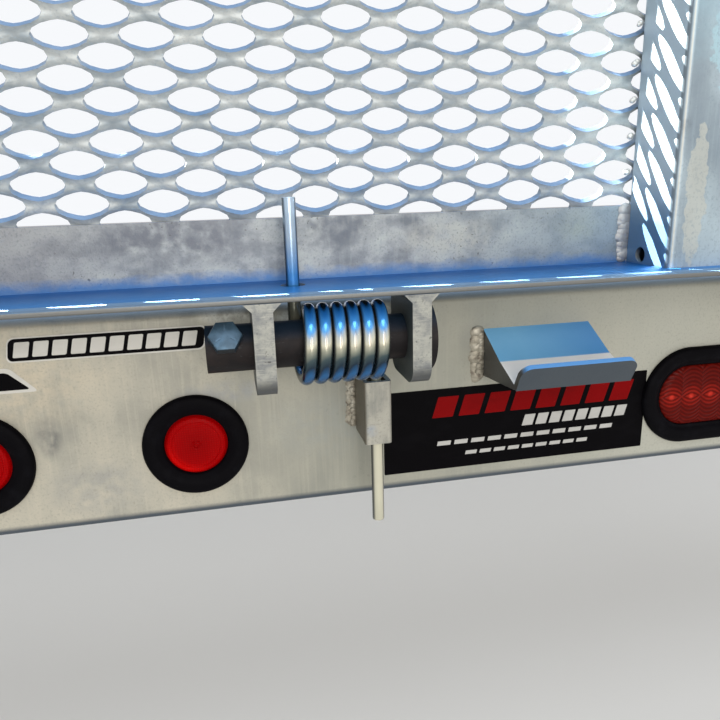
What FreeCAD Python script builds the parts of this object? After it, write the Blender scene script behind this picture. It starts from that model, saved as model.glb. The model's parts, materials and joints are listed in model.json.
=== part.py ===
"""Rear sill of a utility trailer with its spring assisted ramp gate, in millimetres.

+X is to the right as seen from behind the trailer, +Y forward into the trailer and +Z up.
The origin is the middle of the sill's underside, where the ends of the frame rails carry it.
"""
import FreeCAD, Part
import Sketcher
import math
import os
import re

# name, millimetres unless the meaning says degrees or a count, meaning
SIZES = (
    ("sill_length", 1956.0, "rear sill, end to end"),
    ("sill_height", 152.4, "rear sill, underside to top"),
    ("sill_flange", 50.8, "flange of the sill channel, front to back"),
    ("sill_wall", 4.8, "wall of the sill channel"),
    ("sill_bend", 8.0, "outer radius of the channel's two bends"),
    ("lamp_height", 55.5, "centre of every lamp above the sill's underside"),
    ("marker_spacing", 143.0, "between the round identification lamps"),
    ("marker_hole", 32.0, "radius of a round lamp's hole in the sill"),
    ("marker_lip", 36.8, "radius of the front lip of a round grommet"),
    ("marker_lamp", 25.2, "radius of a round lamp's body"),
    ("marker_window", 21.6, "radius of the lens seen inside the grommet"),
    ("marker_depth", 24.0, "how far a round lamp reaches behind the sill face"),
    ("lens_crown", 1.2, "rise of a round lens in its middle"),
    ("lens_edge", 2.0, "flat rim of a round lens"),
    ("lamp_taper", 5.0, "bevel round the back of a round lamp"),
    ("tail_inset", 387.0, "oval tail lamp's centre from the sill's end"),
    ("tail_length", 188.0, "front lip of the oval grommet, long way"),
    ("tail_height", 81.6, "front lip of the oval grommet, short way"),
    ("tail_step", 5.0, "hole edge to lip edge, on the oval and on the round grommets' back lip"),
    ("tail_window", 15.4, "lip edge to lens edge on the oval grommet"),
    ("tail_seat", 11.4, "lip edge to lamp body edge on the oval grommet"),
    ("tail_depth", 28.0, "how far an oval lamp reaches behind the sill face"),
    ("lip_front", 5.0, "how far a grommet stands in front of the sill"),
    ("lip_bevel", 4.0, "sloped outer rim of a round grommet's lip"),
    ("lip_back", 3.0, "back lip of a grommet, behind the web"),
    ("fit_gap", 0.3, "gap between pieces that seat without a running fit"),
    ("run_gap", 0.05, "radial gap of a pin that turns in its lug"),
    ("pin_out", 50.0, "hinge axis behind the sill face"),
    ("pin_height", 135.5, "hinge axis above the sill's underside"),
    ("lug_wall", 12.0, "thickness of every hinge lug"),
    ("hinge_pin", 8.0, "radius of a plain hinge pin"),
    ("pin_head", 13.0, "radius of a plain pin's head and of its end washer"),
    ("head_wall", 5.0, "thickness of pin heads"),
    ("lug_low", 108.6, "lower end of every gate lug above the sill's underside"),
    ("lug_corner", 12.0, "rounding of a gate lug's two lower corners"),
    ("sill_lug", 16.5, "radius of a sill lug round its pin"),
    ("sill_lug_root", 50.0, "height of a sill lug at its weld"),
    ("hinge_inner_inset", 310.0, "inner plain hinge from the gate's end"),
    ("hinge_outer_inset", 75.0, "outer plain hinge from the gate's end"),
    ("lug_side_gap", 1.5, "side gap between a sill lug and the gate lugs"),
    ("weld", 5.0, "fillet weld on both sides of a gate lug, under the angle"),
    ("arbor", 14.6, "radius of the spring's pin"),
    ("arbor_start", 158.0, "inner end of the spring's pin from the middle"),
    ("lug_inner", 192.0, "inner spring lug's centre from the middle"),
    ("lug_outer", 287.0, "outer spring lug's centre from the middle"),
    ("arbor_head", 23.0, "radius of the disc on the spring pin's outer end"),
    ("bolt_offset", 170.0, "cross bolt from the middle"),
    ("bolt", 6.0, "radius of the cross bolt"),
    ("bolt_hex", 9.5, "half the width across the flats of the bolt's head and nut"),
    ("bolt_head", 8.0, "height of the bolt's head and of its nut"),
    ("bolt_tilt", 34.0, "degrees the bolt's head points up from straight back"),
    ("wire", 4.3, "radius of the spring wire"),
    ("coil", 21.7, "mean radius of the coil"),
    ("coil_drop", 1.2, "how far the coil hangs below the pin's axis"),
    ("coil_gap", 12.6, "between the inner spring lug and the first turn"),
    ("coil_pitch", 8.85, "coil pitch, a touch over the wire so the turns just clear"),
    ("coil_turns", 6.0, "count of whole turns"),
    ("coil_steps", 18.0, "count of straight steps that draw one turn"),
    ("wire_sides", 10.0, "count of flats that draw the round wire"),
    ("arm_top", 224.0, "height of the upper arm's tip"),
    ("arm_bottom", -5.0, "height of the lower arm's tip"),
    ("anchor_width", 19.0, "anchor tube, side to side"),
    ("anchor_wall", 3.2, "wall of the anchor tube"),
    ("anchor_round", 2.5, "outer corner radius of the anchor tube"),
    ("anchor_low", 56.0, "lower end of the anchor tube"),
    ("anchor_high", 101.0, "upper end of the anchor tube"),
    ("rail_gap", 13.4, "sill top to the underside of the gate's bottom angle"),
    ("gate_length", 1930.0, "gate, end to end"),
    ("gate_height", 1219.0, "gate, underside of the bottom angle to top"),
    ("leg_depth", 76.2, "flat leg of the bottom angle, heel to front edge"),
    ("leg_rise", 44.5, "upright leg of the bottom angle"),
    ("leg_wall", 3.2, "wall of the bottom angle"),
    ("leg_round", 1.2, "rounding of the angle's front edge"),
    ("arm_hole", 8.0, "radius of the hole for the spring's upper arm"),
    ("tube", 50.8, "width of the gate's square tubes"),
    ("tube_wall", 3.2, "wall of the gate's square tubes"),
    ("tube_round", 5.0, "outer corner radius of the square tubes"),
    ("upright_offset", 495.5, "inner uprights from the middle"),
    ("brace_width", 38.1, "width of the gate's middle rail"),
    ("brace_height", 640.0, "middle rail above the bottom angle"),
    ("mesh_wall", 5.0, "thickness of the expanded mesh"),
    ("mesh_long", 203.2, "long pitch of the mesh diamonds"),
    ("mesh_short", 93.7, "short pitch of the mesh diamonds"),
    ("bond_long", 41.0, "metal between two diamonds, the long way"),
    ("bond_short", 23.4, "metal between two diamonds, the short way"),
    ("mesh_margin", 14.0, "least solid edge round a mesh panel"),
    ("mesh_low", 8.0, "mesh's lower edge above the bottom angle's underside"),
    ("mesh_gap", 2.0, "between neighbouring mesh panels"),
    ("vent", 5.5, "radius of the vent hole at the foot of each upright"),
    ("vent_out", 20.0, "vent hole behind the sill face"),
    ("vent_rise", 6.5, "vent hole's centre above the angle's flat leg"),
    ("bracket_offset", 401.0, "stop bracket's centre from the middle"),
    ("bracket_width", 86.0, "stop bracket, side to side"),
    ("bracket_wall", 3.8, "plate of the stop bracket, measured straight down"),
    ("bracket_top", 124.0, "stop bracket's top edge at the sill face"),
    ("bracket_fold_out", 30.5, "its slight fold, behind the sill face"),
    ("bracket_fold_z", 107.0, "height of that fold"),
    ("trough_out", 55.2, "bottom of its trough, behind the sill face"),
    ("trough_z", 96.8, "height of the trough"),
    ("lip_length", 17.9, "lip of the stop bracket, from the trough up"),
    ("lip_lean", 30.0, "degrees the lip leans back from upright"),
    ("lip_corner", 8.0, "rounding of the lip's two corners"),
    ("bracket_foot", 88.0, "lower end of the bracket's side gussets on the sill"),
    ("gusset_wall", 4.0, "side gusset of the stop bracket"),
    ("latch_height", 859.2, "latch plate's hole above the bottom angle"),
    ("latch_hole", 7.0, "radius of the latch plate's hole"),
    ("latch_size", 50.0, "latch plate, each way"),
    ("latch_wall", 6.4, "thickness of the latch plate"),
    ("cap_wall", 3.0, "end cap of the top rail"),
)
NAMES = {name for name, _, _ in SIZES}

# places worked out from the sizes, as text that the sheet evaluates
FACE = "(-sill_flange/2)"
PIN_Y = f"({FACE}-pin_out)"
LEG_LOW = "(sill_height+rail_gap)"
LEG_TOP = f"({LEG_LOW}+leg_wall)"
TUBE_Y = f"({FACE}-tube)"
TOP_LOW = f"({LEG_LOW}+gate_height-tube)"
ARM_Y = f"({PIN_Y}+coil)"
COIL_START = "(lug_inner+lug_wall/2+coil_gap+wire)"
COIL_END = f"({COIL_START}+coil_turns*coil_pitch)"
TAIL_OFFSET = "(sill_length/2-tail_inset)"
END_OFFSET = "(gate_length/2-tube/2)"
SIDES = (("left", -1), ("right", 1))
NEAR = 0.01  # two places closer than this are the same
X_AXIS, Y_AXIS, Z_AXIS = (FreeCAD.Vector(*way) for way in ((1, 0, 0), (0, 1, 0), (0, 0, 1)))
ALONG = {
    "x": FreeCAD.Rotation(Y_AXIS, 90),
    "y": FreeCAD.Rotation(X_AXIS, -90),
    "z": FreeCAD.Rotation(),
}

doc = FreeCAD.newDocument("ramp_gate_sill")
sheet = doc.addObject("Spreadsheet::Sheet", "sizes")
for row, (name, value, meaning) in enumerate(SIZES, start=1):
    sheet.set(f"A{row}", meaning)
    sheet.set(f"B{row}", str(value))
    sheet.setAlias(f"B{row}", name)
doc.recompute()


def cells(text):
    """Point each size name in an expression at the sheet."""
    return re.sub(r"[a-z_]+", lambda word: f"sizes.{word[0]}" if word[0] in NAMES else word[0], str(text))


def number(text):
    """The value of an expression now."""
    return float(sheet.evalExpression(cells(text)))


def bind(item, **sizes):
    """Bind properties to expressions."""
    for key, text in sizes.items():
        item.setExpression(key, cells(text))
    return item


def place(item, x="0", y="0", z="0", turn=None):
    """Place an object by expressions, turned first."""
    if turn is not None:
        item.Placement = FreeCAD.Placement(FreeCAD.Vector(), turn)
    for key, text in (("x", x), ("y", y), ("z", z)):
        item.setExpression(f"Placement.Base.{key}", cells(text))
    return item


def block(name, x, y, z):
    """A box from three (low, high) pairs of expressions."""
    item = doc.addObject("Part::Box", name)
    spans = [f"({high})-({low})" for low, high in (x, y, z)]
    bind(item, Length=spans[0], Width=spans[1], Height=spans[2])
    return place(item, x[0], y[0], z[0])


def rod(name, radius, length, along, x="0", y="0", z="0"):
    """A round bar from a point, along one axis."""
    item = bind(doc.addObject("Part::Cylinder", name), Radius=radius, Height=length)
    return place(item, x, y, z, ALONG[along])


def fuse(name, items):
    """One solid from several that touch, or the one itself."""
    item = doc.addObject("Part::MultiFuse", name)
    item.Shapes = items
    item.Refine = True
    return item


def group(name, items):
    """Separate solids that share a node."""
    item = doc.addObject("Part::Compound", name)
    item.Links = items
    return item


def cut(name, base, tools):
    """A solid less others."""
    item = doc.addObject("Part::Cut", name)
    item.Base = base
    item.Tool = tools[0] if len(tools) == 1 else group(name + "_tools", tools)
    return item


def mirrored(name, source):
    """The same piece on the other side of the middle."""
    item = doc.addObject("Part::Mirroring", name)
    item.Source = source
    item.Normal = X_AXIS
    return item


def body_plane(body, role):
    """An origin plane or axis of a body."""
    return next(item for item in body.Origin.OriginFeatures if item.Role == role)


def outline(body, plane, corners, offset="0"):
    """A closed sketch of straight lines, each corner bound to two expressions."""
    sketch = body.newObject("Sketcher::SketchObject", body.Name + "_outline")
    sketch.AttachmentSupport = (body_plane(body, plane), [""])
    sketch.MapMode = "FlatFace"
    sketch.setExpression("AttachmentOffset.Base.z", cells(offset))
    points = [FreeCAD.Vector(number(x), number(y), 0) for x, y in corners]
    for start, end in zip(points, points[1:] + points[:1]):
        sketch.addGeometry(Part.LineSegment(start, end))
    for index, (x, y) in enumerate(corners):
        sketch.addConstraint(Sketcher.Constraint("Coincident", index, 2, (index + 1) % len(corners), 1))
        for kind, text, value in (("DistanceX", x, points[index].x), ("DistanceY", y, points[index].y)):
            where = sketch.addConstraint(Sketcher.Constraint(kind, -1, 1, index, 1, value))
            sketch.renameConstraint(where, f"{kind}_{index}")
            sketch.setExpression(f"Constraints.{kind}_{index}", cells(text))
    return sketch


def pad(body, sketch, length, both_ways=False):
    """Pad a sketch of a body."""
    item = body.newObject("PartDesign::Pad", body.Name + "_pad")
    item.Profile = sketch
    item.setExpression("Length", cells(length))
    item.Midplane = both_ways
    return item


def profile(name, plane, corners, length, offset="0", both_ways=True):
    """A body padded from one closed outline."""
    body = doc.addObject("PartDesign::Body", name)
    pad(body, outline(body, plane, corners, offset), length, both_ways)
    return body


def turned(name, corners, x, z):
    """A body revolved about the Y axis from (radius, y) corners, then moved to its centre."""
    body = doc.addObject("PartDesign::Body", name)
    sketch = outline(body, "XY_Plane", corners)
    item = body.newObject("PartDesign::Revolution", name + "_turn")
    item.Profile = sketch
    item.ReferenceAxis = (sketch, ["V_Axis"])
    item.Angle = 360
    return place(body, x, "0", z)


def rounded(body, radius, wanted):
    """Round those edges of a body's tip that the test wants."""
    doc.recompute()
    tip = body.Tip
    edges = [f"Edge{n}" for n, edge in enumerate(tip.Shape.Edges, start=1) if wanted(edge)]
    item = body.newObject("PartDesign::Fillet", body.Name + "_round")
    item.Base = (tip, edges)
    item.setExpression("Radius", cells(radius))
    return item


def runs(edge, axis):
    """Does an edge run straight along an axis?"""
    if not isinstance(edge.Curve, Part.Line):
        return False
    return edge.tangentAt(edge.FirstParameter).cross(axis).Length < NEAR


def stadium(name, length, height, y, x, z):
    """A long round ended block about a centre line, between two y expressions."""
    reach = f"(({length})-({height}))/2"
    radius, depth = f"({height})/2", f"({y[1]})-({y[0]})"
    parts = [block(name + "_middle", (f"{x}-{reach}", f"{x}+{reach}"), y, (f"{z}-{radius}", f"{z}+{radius}"))]
    for side, sign in SIDES:
        parts.append(rod(f"{name}_{side}_end", radius, depth, "y", f"{x}+({sign})*{reach}", y[0], z))
    return fuse(name, parts)


nodes = {}


def keep(name, item):
    """Name a finished piece as one of the assembly's nodes."""
    item.Label = name
    nodes[name] = item
    return item


def tail_size(inset):
    """Length and height of the oval tail lamp's outline, set in from the grommet's lip."""
    return f"(tail_length-2*({inset}))", f"(tail_height-2*({inset}))"


def make_sill():
    """The bent channel with its lamp holes."""
    low, high = "0", "sill_height"
    back, front = FACE, "(sill_flange/2)"
    inside = f"({back}+sill_wall)"
    body = profile("sill_channel", "YZ_Plane", (
        (back, low), (front, low), (front, "sill_wall"), (inside, "sill_wall"),
        (inside, "sill_height-sill_wall"), (front, "sill_height-sill_wall"), (front, high), (back, high),
    ), "sill_length")
    for radius, corner in (("sill_bend", number(back)), ("(sill_bend-sill_wall)", number(inside))):
        rounded(body, radius, lambda edge: runs(edge, X_AXIS) and abs(edge.CenterOfMass.y - corner) < NEAR)
    through = (f"{FACE}-sill_wall/2", f"{FACE}+3*sill_wall/2")
    holes = []
    for name, place_x in MARKERS:
        holes.append(rod(f"hole_{name}", "marker_hole", "2*sill_wall", "y", place_x, through[0],
                         "lamp_height"))
    for side, sign in SIDES:
        x = f"({sign})*{TAIL_OFFSET}"
        holes.append(stadium(f"hole_tail_{side}", *tail_size("tail_step"), through, x, "lamp_height"))
    keep("rear_sill", cut("sill_with_holes", body, holes))


MARKERS = (("left", "-marker_spacing"), ("middle", "0"), ("right", "marker_spacing"))


def make_markers():
    """Round identification lamps, each in its rubber grommet."""
    web_back = f"({FACE}+sill_wall+fit_gap)"
    lens, lamp_end = f"({FACE}-lip_front/3+fit_gap)", f"({FACE}+marker_depth)"
    for name, place_x in MARKERS:
        keep(f"marker_grommet_{name}", turned(f"grommet_{name}", (
            ("marker_window", f"{FACE}-lip_front"), ("marker_lip-lip_bevel", f"{FACE}-lip_front"),
            ("marker_lip", f"{FACE}-lip_front/2"), ("marker_lip", f"{FACE}-fit_gap"),
            ("marker_hole-fit_gap", f"{FACE}-fit_gap"), ("marker_hole-fit_gap", web_back),
            ("marker_hole+tail_step/2", web_back), ("marker_hole+tail_step/2", f"{web_back}+lip_back"),
            ("marker_lamp+fit_gap", f"{web_back}+lip_back"), ("marker_lamp+fit_gap", f"{FACE}-lip_front/3"),
            ("marker_window", f"{FACE}-lip_front/3"),
        ), place_x, "lamp_height"))
        keep(f"marker_lamp_{name}", turned(f"lamp_{name}", (
            ("0", f"{lens}-lens_crown"), ("marker_window-lens_edge", lens), ("marker_lamp", lens),
            ("marker_lamp", f"{lamp_end}-lamp_taper"), ("marker_lamp-lamp_taper", lamp_end), ("0", lamp_end),
        ), place_x, "lamp_height"))


def make_tails():
    """Oval tail lamps, each in its rubber grommet."""
    front, seat_y = f"({FACE}-lip_front)", f"({FACE}-lip_front/3)"
    web_back = f"({FACE}+sill_wall+fit_gap)"
    # layer, inset from the lip's edge, nearest and farthest y
    layers = (
        ("lip", "0", front, f"{FACE}-fit_gap"),
        ("neck", "tail_step+fit_gap", f"{FACE}-fit_gap", web_back),
        ("back", "tail_step/2", web_back, f"{web_back}+lip_back"),
        ("window", "tail_window", f"{front}-1", FACE),
        ("seat", "tail_seat", seat_y, f"{web_back}+lip_back+1"),
        ("shell", "tail_seat+fit_gap", f"{seat_y}+fit_gap", f"{FACE}+tail_depth"),
        ("crown", "tail_window+lens_edge/2", f"{front}+lens_edge/2", f"{seat_y}+fit_gap"),
    )
    for side, sign in SIDES:
        made = {}
        for layer, inset, near, far in layers:
            made[layer] = stadium(f"tail_{layer}_{side}", *tail_size(inset), (near, far),
                                  f"({sign})*{TAIL_OFFSET}", "lamp_height")
        ring = fuse(f"tail_ring_{side}", [made["lip"], made["neck"], made["back"]])
        keep(f"tail_grommet_{side}", cut(f"tail_grommet_solid_{side}", ring, [made["window"], made["seat"]]))
        keep(f"tail_lamp_{side}", fuse(f"tail_lamp_solid_{side}", [made["shell"], made["crown"]]))


def gate_lug(name, x, hole):
    """A lug welded under the gate's bottom angle, with a pin bore of the given radius."""
    half = "(leg_depth-pin_out)"
    front, back = f"{PIN_Y}-{half}", f"{PIN_Y}+{half}"
    welds = doc.addObject("Part::Wedge", name + "_welds")
    bind(welds, Xmin="-lug_wall/2", Xmax="lug_wall/2", X2min="-lug_wall/2-weld", X2max="lug_wall/2+weld",
         Ymin="0", Ymax="weld", Zmin=f"-{half}", Zmax=half, Z2min=f"-{half}", Z2max=half)
    place(welds, x, PIN_Y, f"{LEG_LOW}-weld", FreeCAD.Rotation(X_AXIS, 90))
    plate = profile(name + "_plate", "YZ_Plane", (
        (front, "lug_low"), (back, "lug_low"), (back, LEG_LOW), (front, LEG_LOW),
    ), "lug_wall", x)
    low = number("lug_low")
    rounded(plate, "lug_corner", lambda edge: runs(edge, X_AXIS) and abs(edge.CenterOfMass.z - low) < NEAR)
    bore = rod(name + "_bore", hole, "lug_wall+2", "x", f"{x}-lug_wall/2-1", PIN_Y, "pin_height")
    return cut(name, fuse(name + "_solid", [plate, welds]), [bore])


def make_hinges():
    """Four plain hinges: a sill lug between two gate lugs on a headed pin."""
    apart = "(lug_wall+lug_side_gap)"
    sill_lugs, gate_lugs, pins = [], [], []
    for place_name, inset in (("inner", "hinge_inner_inset"), ("outer", "hinge_outer_inset")):
        for side, sign in SIDES:
            name, x = f"{place_name}_{side}", f"({sign})*(gate_length/2-{inset})"
            body = profile(f"sill_lug_{name}", "YZ_Plane", (
                (FACE, "pin_height-sill_lug_root+sill_lug"), (PIN_Y, "pin_height-sill_lug"),
                (PIN_Y, "pin_height+sill_lug"), (f"{FACE}", "pin_height+sill_lug"),
            ), "lug_wall", x)
            end = rod(f"sill_lug_end_{name}", "sill_lug", "lug_wall", "x", f"{x}-lug_wall/2", PIN_Y,
                      "pin_height")
            bore = rod(f"sill_bore_{name}", "hinge_pin+run_gap", "lug_wall+2", "x", f"{x}-lug_wall/2-1",
                       PIN_Y, "pin_height")
            sill_lugs.append(cut(f"sill_lug_cut_{name}", fuse(f"sill_lug_solid_{name}", [body, end]), [bore]))
            for twin, way in SIDES:
                lug_x = f"{x}+({way})*{apart}"
                gate_lugs.append(gate_lug(f"gate_lug_{name}_{twin}", lug_x, "hinge_pin+fit_gap/3"))
            reach = f"({apart}+lug_wall/2+fit_gap)"
            shank = rod(f"pin_{name}", "hinge_pin", f"2*{reach}", "x", f"{x}-{reach}", PIN_Y, "pin_height")
            head_x = f"{x}+{reach}" if sign > 0 else f"{x}-{reach}-head_wall"
            washer_x = f"{x}-{reach}-head_wall/2" if sign > 0 else f"{x}+{reach}"
            ends = [
                rod(f"pin_head_{name}", "pin_head", "head_wall", "x", head_x, PIN_Y, "pin_height"),
                rod(f"pin_washer_{name}", "pin_head", "head_wall/2", "x", washer_x, PIN_Y, "pin_height"),
            ]
            pins.append(fuse(f"headed_pin_{name}", [shank] + ends))
    keep("sill_hinge_lugs", group("sill_lug_set", sill_lugs))
    keep("gate_hinge_lugs", group("gate_lug_set", gate_lugs))
    keep("hinge_pins", group("hinge_pin_set", pins))


def hexagon(name, length, along_turn, x, y, z):
    """A hexagonal prism turned to a direction."""
    item = doc.addObject("Part::Prism", name)
    item.Polygon = 6
    bind(item, Circumradius="bolt_hex/cos(30 deg)", Height=length)
    return place(item, x, y, z, along_turn)


def make_spring_pin():
    """The bar inside the coil, held in two gate lugs by a disc head and a cross bolt."""
    lugs = [gate_lug(f"spring_lug_{side}", x, "arbor+fit_gap/3") for side, x in
            (("inner", "lug_inner"), ("outer", "lug_outer"))]
    keep("spring_lugs_right", group("spring_lug_pair", lugs))
    keep("spring_lugs_left", mirrored("spring_lug_pair_left", nodes["spring_lugs_right"]))
    head_x = "(lug_outer+lug_wall/2+fit_gap)"
    bar = rod("arbor_bar", "arbor", f"{head_x}-arbor_start", "x", "arbor_start", PIN_Y, "pin_height")
    disc = rod("arbor_disc", "arbor_head", "head_wall", "x", head_x, PIN_Y, "pin_height")
    tilt = FreeCAD.Rotation(X_AXIS, 90 - number("bolt_tilt"))
    rise, reach = "sin(bolt_tilt*1deg)", "cos(bolt_tilt*1deg)"
    length = "(2*arbor+2*bolt_head)"

    def at(distance):
        """Y and Z of a point along the bolt, from the pin's axis towards the bolt's head."""
        return f"{PIN_Y}-({distance})*{reach}", f"pin_height+({distance})*{rise}"

    hole = doc.addObject("Part::Cylinder", "arbor_cross_hole")
    bind(hole, Radius="bolt+fit_gap/3", Height=f"{length}+2")
    place(hole, "bolt_offset", *at("-arbor-bolt_head-1"), tilt)
    keep("spring_pin_right", cut("arbor_solid", fuse("arbor_blank", [bar, disc]), [hole]))
    keep("spring_pin_left", mirrored("arbor_left", nodes["spring_pin_right"]))
    shank = doc.addObject("Part::Cylinder", "bolt_shank")
    bind(shank, Radius="bolt", Height=f"{length}-bolt_head/2")
    place(shank, "bolt_offset", *at("-arbor-bolt_head-2"), tilt)
    head = hexagon("bolt_head_hex", "bolt_head", tilt, "bolt_offset", *at("arbor+fit_gap"))
    nut = hexagon("bolt_nut_hex", "bolt_head", tilt, "bolt_offset", *at("-arbor-bolt_head-fit_gap"))
    keep("cross_bolt_right", fuse("cross_bolt", [shank, head, nut]))
    keep("cross_bolt_left", mirrored("cross_bolt_mirror", nodes["cross_bolt_right"]))


def make_springs():
    """The torsion spring, hung on its pin: close turns, one arm up through the gate's angle, one down."""
    turns, steps, sides = (round(number(name)) for name in ("coil_turns", "coil_steps", "wire_sides"))
    wire, coil, middle = (number(text) for text in ("wire", "coil", "pin_height-coil_drop"))
    start, end, pin_y = number(COIL_START), number(COIL_END), number(PIN_Y)
    corners = []
    for side in range(sides):
        angle = math.tau * side / sides
        corners.append(FreeCAD.Vector(wire * math.cos(angle), coil + wire * math.sin(angle), 0))
    section = Part.makePolygon(corners + corners[:1])
    places = [(start, number("arm_top"), 0)]
    for step in range(turns * steps + 1):
        places.append((start + (end - start) * step / (turns * steps), middle, -360 * step / steps))
    places.append((end, number("arm_bottom"), 0))
    rings = []
    for x, z, angle in places:
        ring = section.copy()
        ring.Placement = FreeCAD.Placement(FreeCAD.Vector(x, pin_y, z), FreeCAD.Rotation(X_AXIS, angle))
        rings.append(ring)
    spring = doc.addObject("Part::Feature", "spring_wire")
    spring.Shape = Part.makeLoft(rings, True, True)
    keep("coil_spring_right", spring)
    keep("coil_spring_left", mirrored("spring_wire_left", spring))


def make_anchors():
    """The upright tube on the sill that takes the spring's lower arm."""
    depth = f"(pin_out-coil+wire+fit_gap+anchor_wall)"
    x = (f"{COIL_END}-anchor_width/2", f"{COIL_END}+anchor_width/2")
    blank = block("anchor_blank", x, (f"{FACE}-{depth}", FACE), ("anchor_low", "anchor_high"))
    tube = rounded_block("anchor_edges", blank, Z_AXIS, "anchor_round")
    room = block("anchor_room", (f"{x[0]}+anchor_wall", f"{x[1]}-anchor_wall"),
                 (f"{FACE}-{depth}+anchor_wall", f"{FACE}-anchor_wall"), ("anchor_low-1", "anchor_high+1"))
    keep("spring_anchor_right", cut("anchor_tube", tube, [room]))
    keep("spring_anchor_left", mirrored("anchor_tube_left", nodes["spring_anchor_right"]))


def make_brackets():
    """The folded stop bracket with an upturned lip, on two side gussets."""
    fold, trough = f"({FACE}-bracket_fold_out)", f"({FACE}-trough_out)"
    back, up = "sin(lip_lean*1deg)", "cos(lip_lean*1deg)"
    lip, lip_z = f"({trough}-lip_length*{back})", f"(trough_z+lip_length*{up})"
    plate = profile("bracket_plate", "YZ_Plane", (
        (FACE, "bracket_top"), (fold, "bracket_fold_z"), (trough, "trough_z"), (lip, lip_z),
        (f"{lip}-bracket_wall*{up}", f"{lip_z}-bracket_wall*{back}"),
        (f"{trough}-bracket_wall*{up}", "trough_z-bracket_wall"), (fold, "bracket_fold_z-bracket_wall"),
        (FACE, "bracket_top-bracket_wall"),
    ), "bracket_width", "bracket_offset")
    lip_middle = number(f"{lip}-bracket_wall*{up}/2")
    rounded(plate, "lip_corner", lambda edge: abs(edge.CenterOfMass.y - lip_middle) < NEAR)
    gussets = []
    for side, sign in SIDES:
        middle = f"bracket_offset+({sign})*(bracket_width/2-gusset_wall/2)"
        gussets.append(profile(f"bracket_gusset_{side}", "YZ_Plane", (
            (FACE, "bracket_top-bracket_wall/2"), (fold, "bracket_fold_z-bracket_wall/2"),
            (trough, "trough_z-bracket_wall/2"), (trough, "trough_z-bracket_wall"), (FACE, "bracket_foot"),
        ), "gusset_wall", middle))
    keep("stop_bracket_right", fuse("bracket_solid", [plate] + gussets))
    keep("stop_bracket_left", mirrored("bracket_solid_left", nodes["stop_bracket_right"]))


UPRIGHTS = (
    ("upright_outer_left", f"-{END_OFFSET}"), ("upright_inner_left", "-upright_offset"),
    ("upright_inner_right", "upright_offset"), ("upright_outer_right", END_OFFSET),
)


def make_angle():
    """The bottom angle: its upright leg stops at each upright, its flat leg runs right through."""
    heel, edge = FACE, f"({FACE}-leg_depth)"
    body = profile("angle_blank", "YZ_Plane", (
        (heel, LEG_LOW), (heel, f"{LEG_LOW}+leg_rise"), (f"{heel}-leg_wall", f"{LEG_LOW}+leg_rise"),
        (f"{heel}-leg_wall", LEG_TOP), (edge, LEG_TOP), (edge, LEG_LOW),
    ), "gate_length")
    front = number(edge)
    rounded(body, "leg_round", lambda edge: runs(edge, X_AXIS) and abs(edge.CenterOfMass.y - front) < NEAR)
    tools = []
    for name, x in UPRIGHTS:
        tools.append(block(f"notch_{name}", (f"{x}-tube/2", f"{x}+tube/2"),
                           (f"{heel}-leg_wall-1", f"{heel}+1"), (LEG_TOP, f"{LEG_LOW}+leg_rise+1")))
    for side, sign in SIDES:
        tools.append(rod(f"arm_hole_{side}", "arm_hole", "leg_wall+2", "z", f"({sign})*{COIL_START}", ARM_Y,
                         f"{LEG_LOW}-1"))
    keep("gate_bottom_angle", cut("angle_solid", body, tools))


def rounded_block(name, base, axis, radius):
    """A box with the edges along one axis rounded."""
    doc.recompute()
    item = doc.addObject("Part::Fillet", name)
    item.Base = base
    size = number(radius)
    item.Edges = [(n, size, size) for n, edge in enumerate(base.Shape.Edges, start=1) if runs(edge, axis)]
    return item


def square_tube(name, along, x, y, z):
    """A square tube with rounded edges, from three (low, high) pairs of expressions."""
    outer = block(name + "_outer", x, y, z)
    low = [("0" if axis == along else "tube_wall") for axis in "xyz"]
    spans = []
    for (start, end), inset in zip((x, y, z), low):
        more = "1" if inset == "0" else f"-{inset}"
        spans.append((f"{start}-({more})", f"{end}+({more})"))
    inner = block(name + "_inner", *spans)
    axis = {"x": X_AXIS, "y": Y_AXIS, "z": Z_AXIS}[along]
    return cut(name + "_tube", rounded_block(name + "_edges", outer, axis, "tube_round"), [inner])


def make_frame():
    """Uprights on the bottom angle, the top rail with its caps, and the middle rails."""
    for name, x in UPRIGHTS:
        tube = square_tube(name, "z", (f"{x}-tube/2", f"{x}+tube/2"), (TUBE_Y, FACE), (LEG_TOP, TOP_LOW))
        wall_x = f"{x}-tube/2-1" if number(x) > 0 else f"{x}+tube/2-tube_wall-1"
        vent = rod(f"{name}_vent", "vent", "tube_wall+2", "x", wall_x, f"{FACE}-vent_out",
                   f"{LEG_TOP}+vent_rise")
        keep(name, cut(f"{name}_vented", tube, [vent]))
    half = "(gate_length/2)"
    rail_z = (TOP_LOW, f"{TOP_LOW}+tube")
    keep("top_rail", square_tube("top_rail", "x", (f"-{half}", half), (TUBE_Y, FACE), rail_z))
    caps = []
    for side, sign in SIDES:
        start = half if sign > 0 else f"-{half}-cap_wall"
        inset = "tube_wall/2"
        caps.append(block(f"cap_{side}", (start, f"{start}+cap_wall"),
                          (f"{TUBE_Y}+{inset}", f"{FACE}-{inset}"),
                          (f"{TOP_LOW}+{inset}", f"{TOP_LOW}+tube-{inset}")))
    keep("top_rail_caps", group("cap_pair", caps))
    rails = []
    for (left, low_x), (right, high_x) in zip(UPRIGHTS, UPRIGHTS[1:]):
        low_z = f"({LEG_LOW}+brace_height)"
        rails.append(square_tube(f"mid_rail_{left}", "x", (f"{low_x}+tube/2", f"{high_x}-tube/2"),
                                 (f"{FACE}-brace_width", FACE), (low_z, f"{low_z}+brace_width")))
    keep("middle_rails", group("middle_rail_set", rails))


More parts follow.
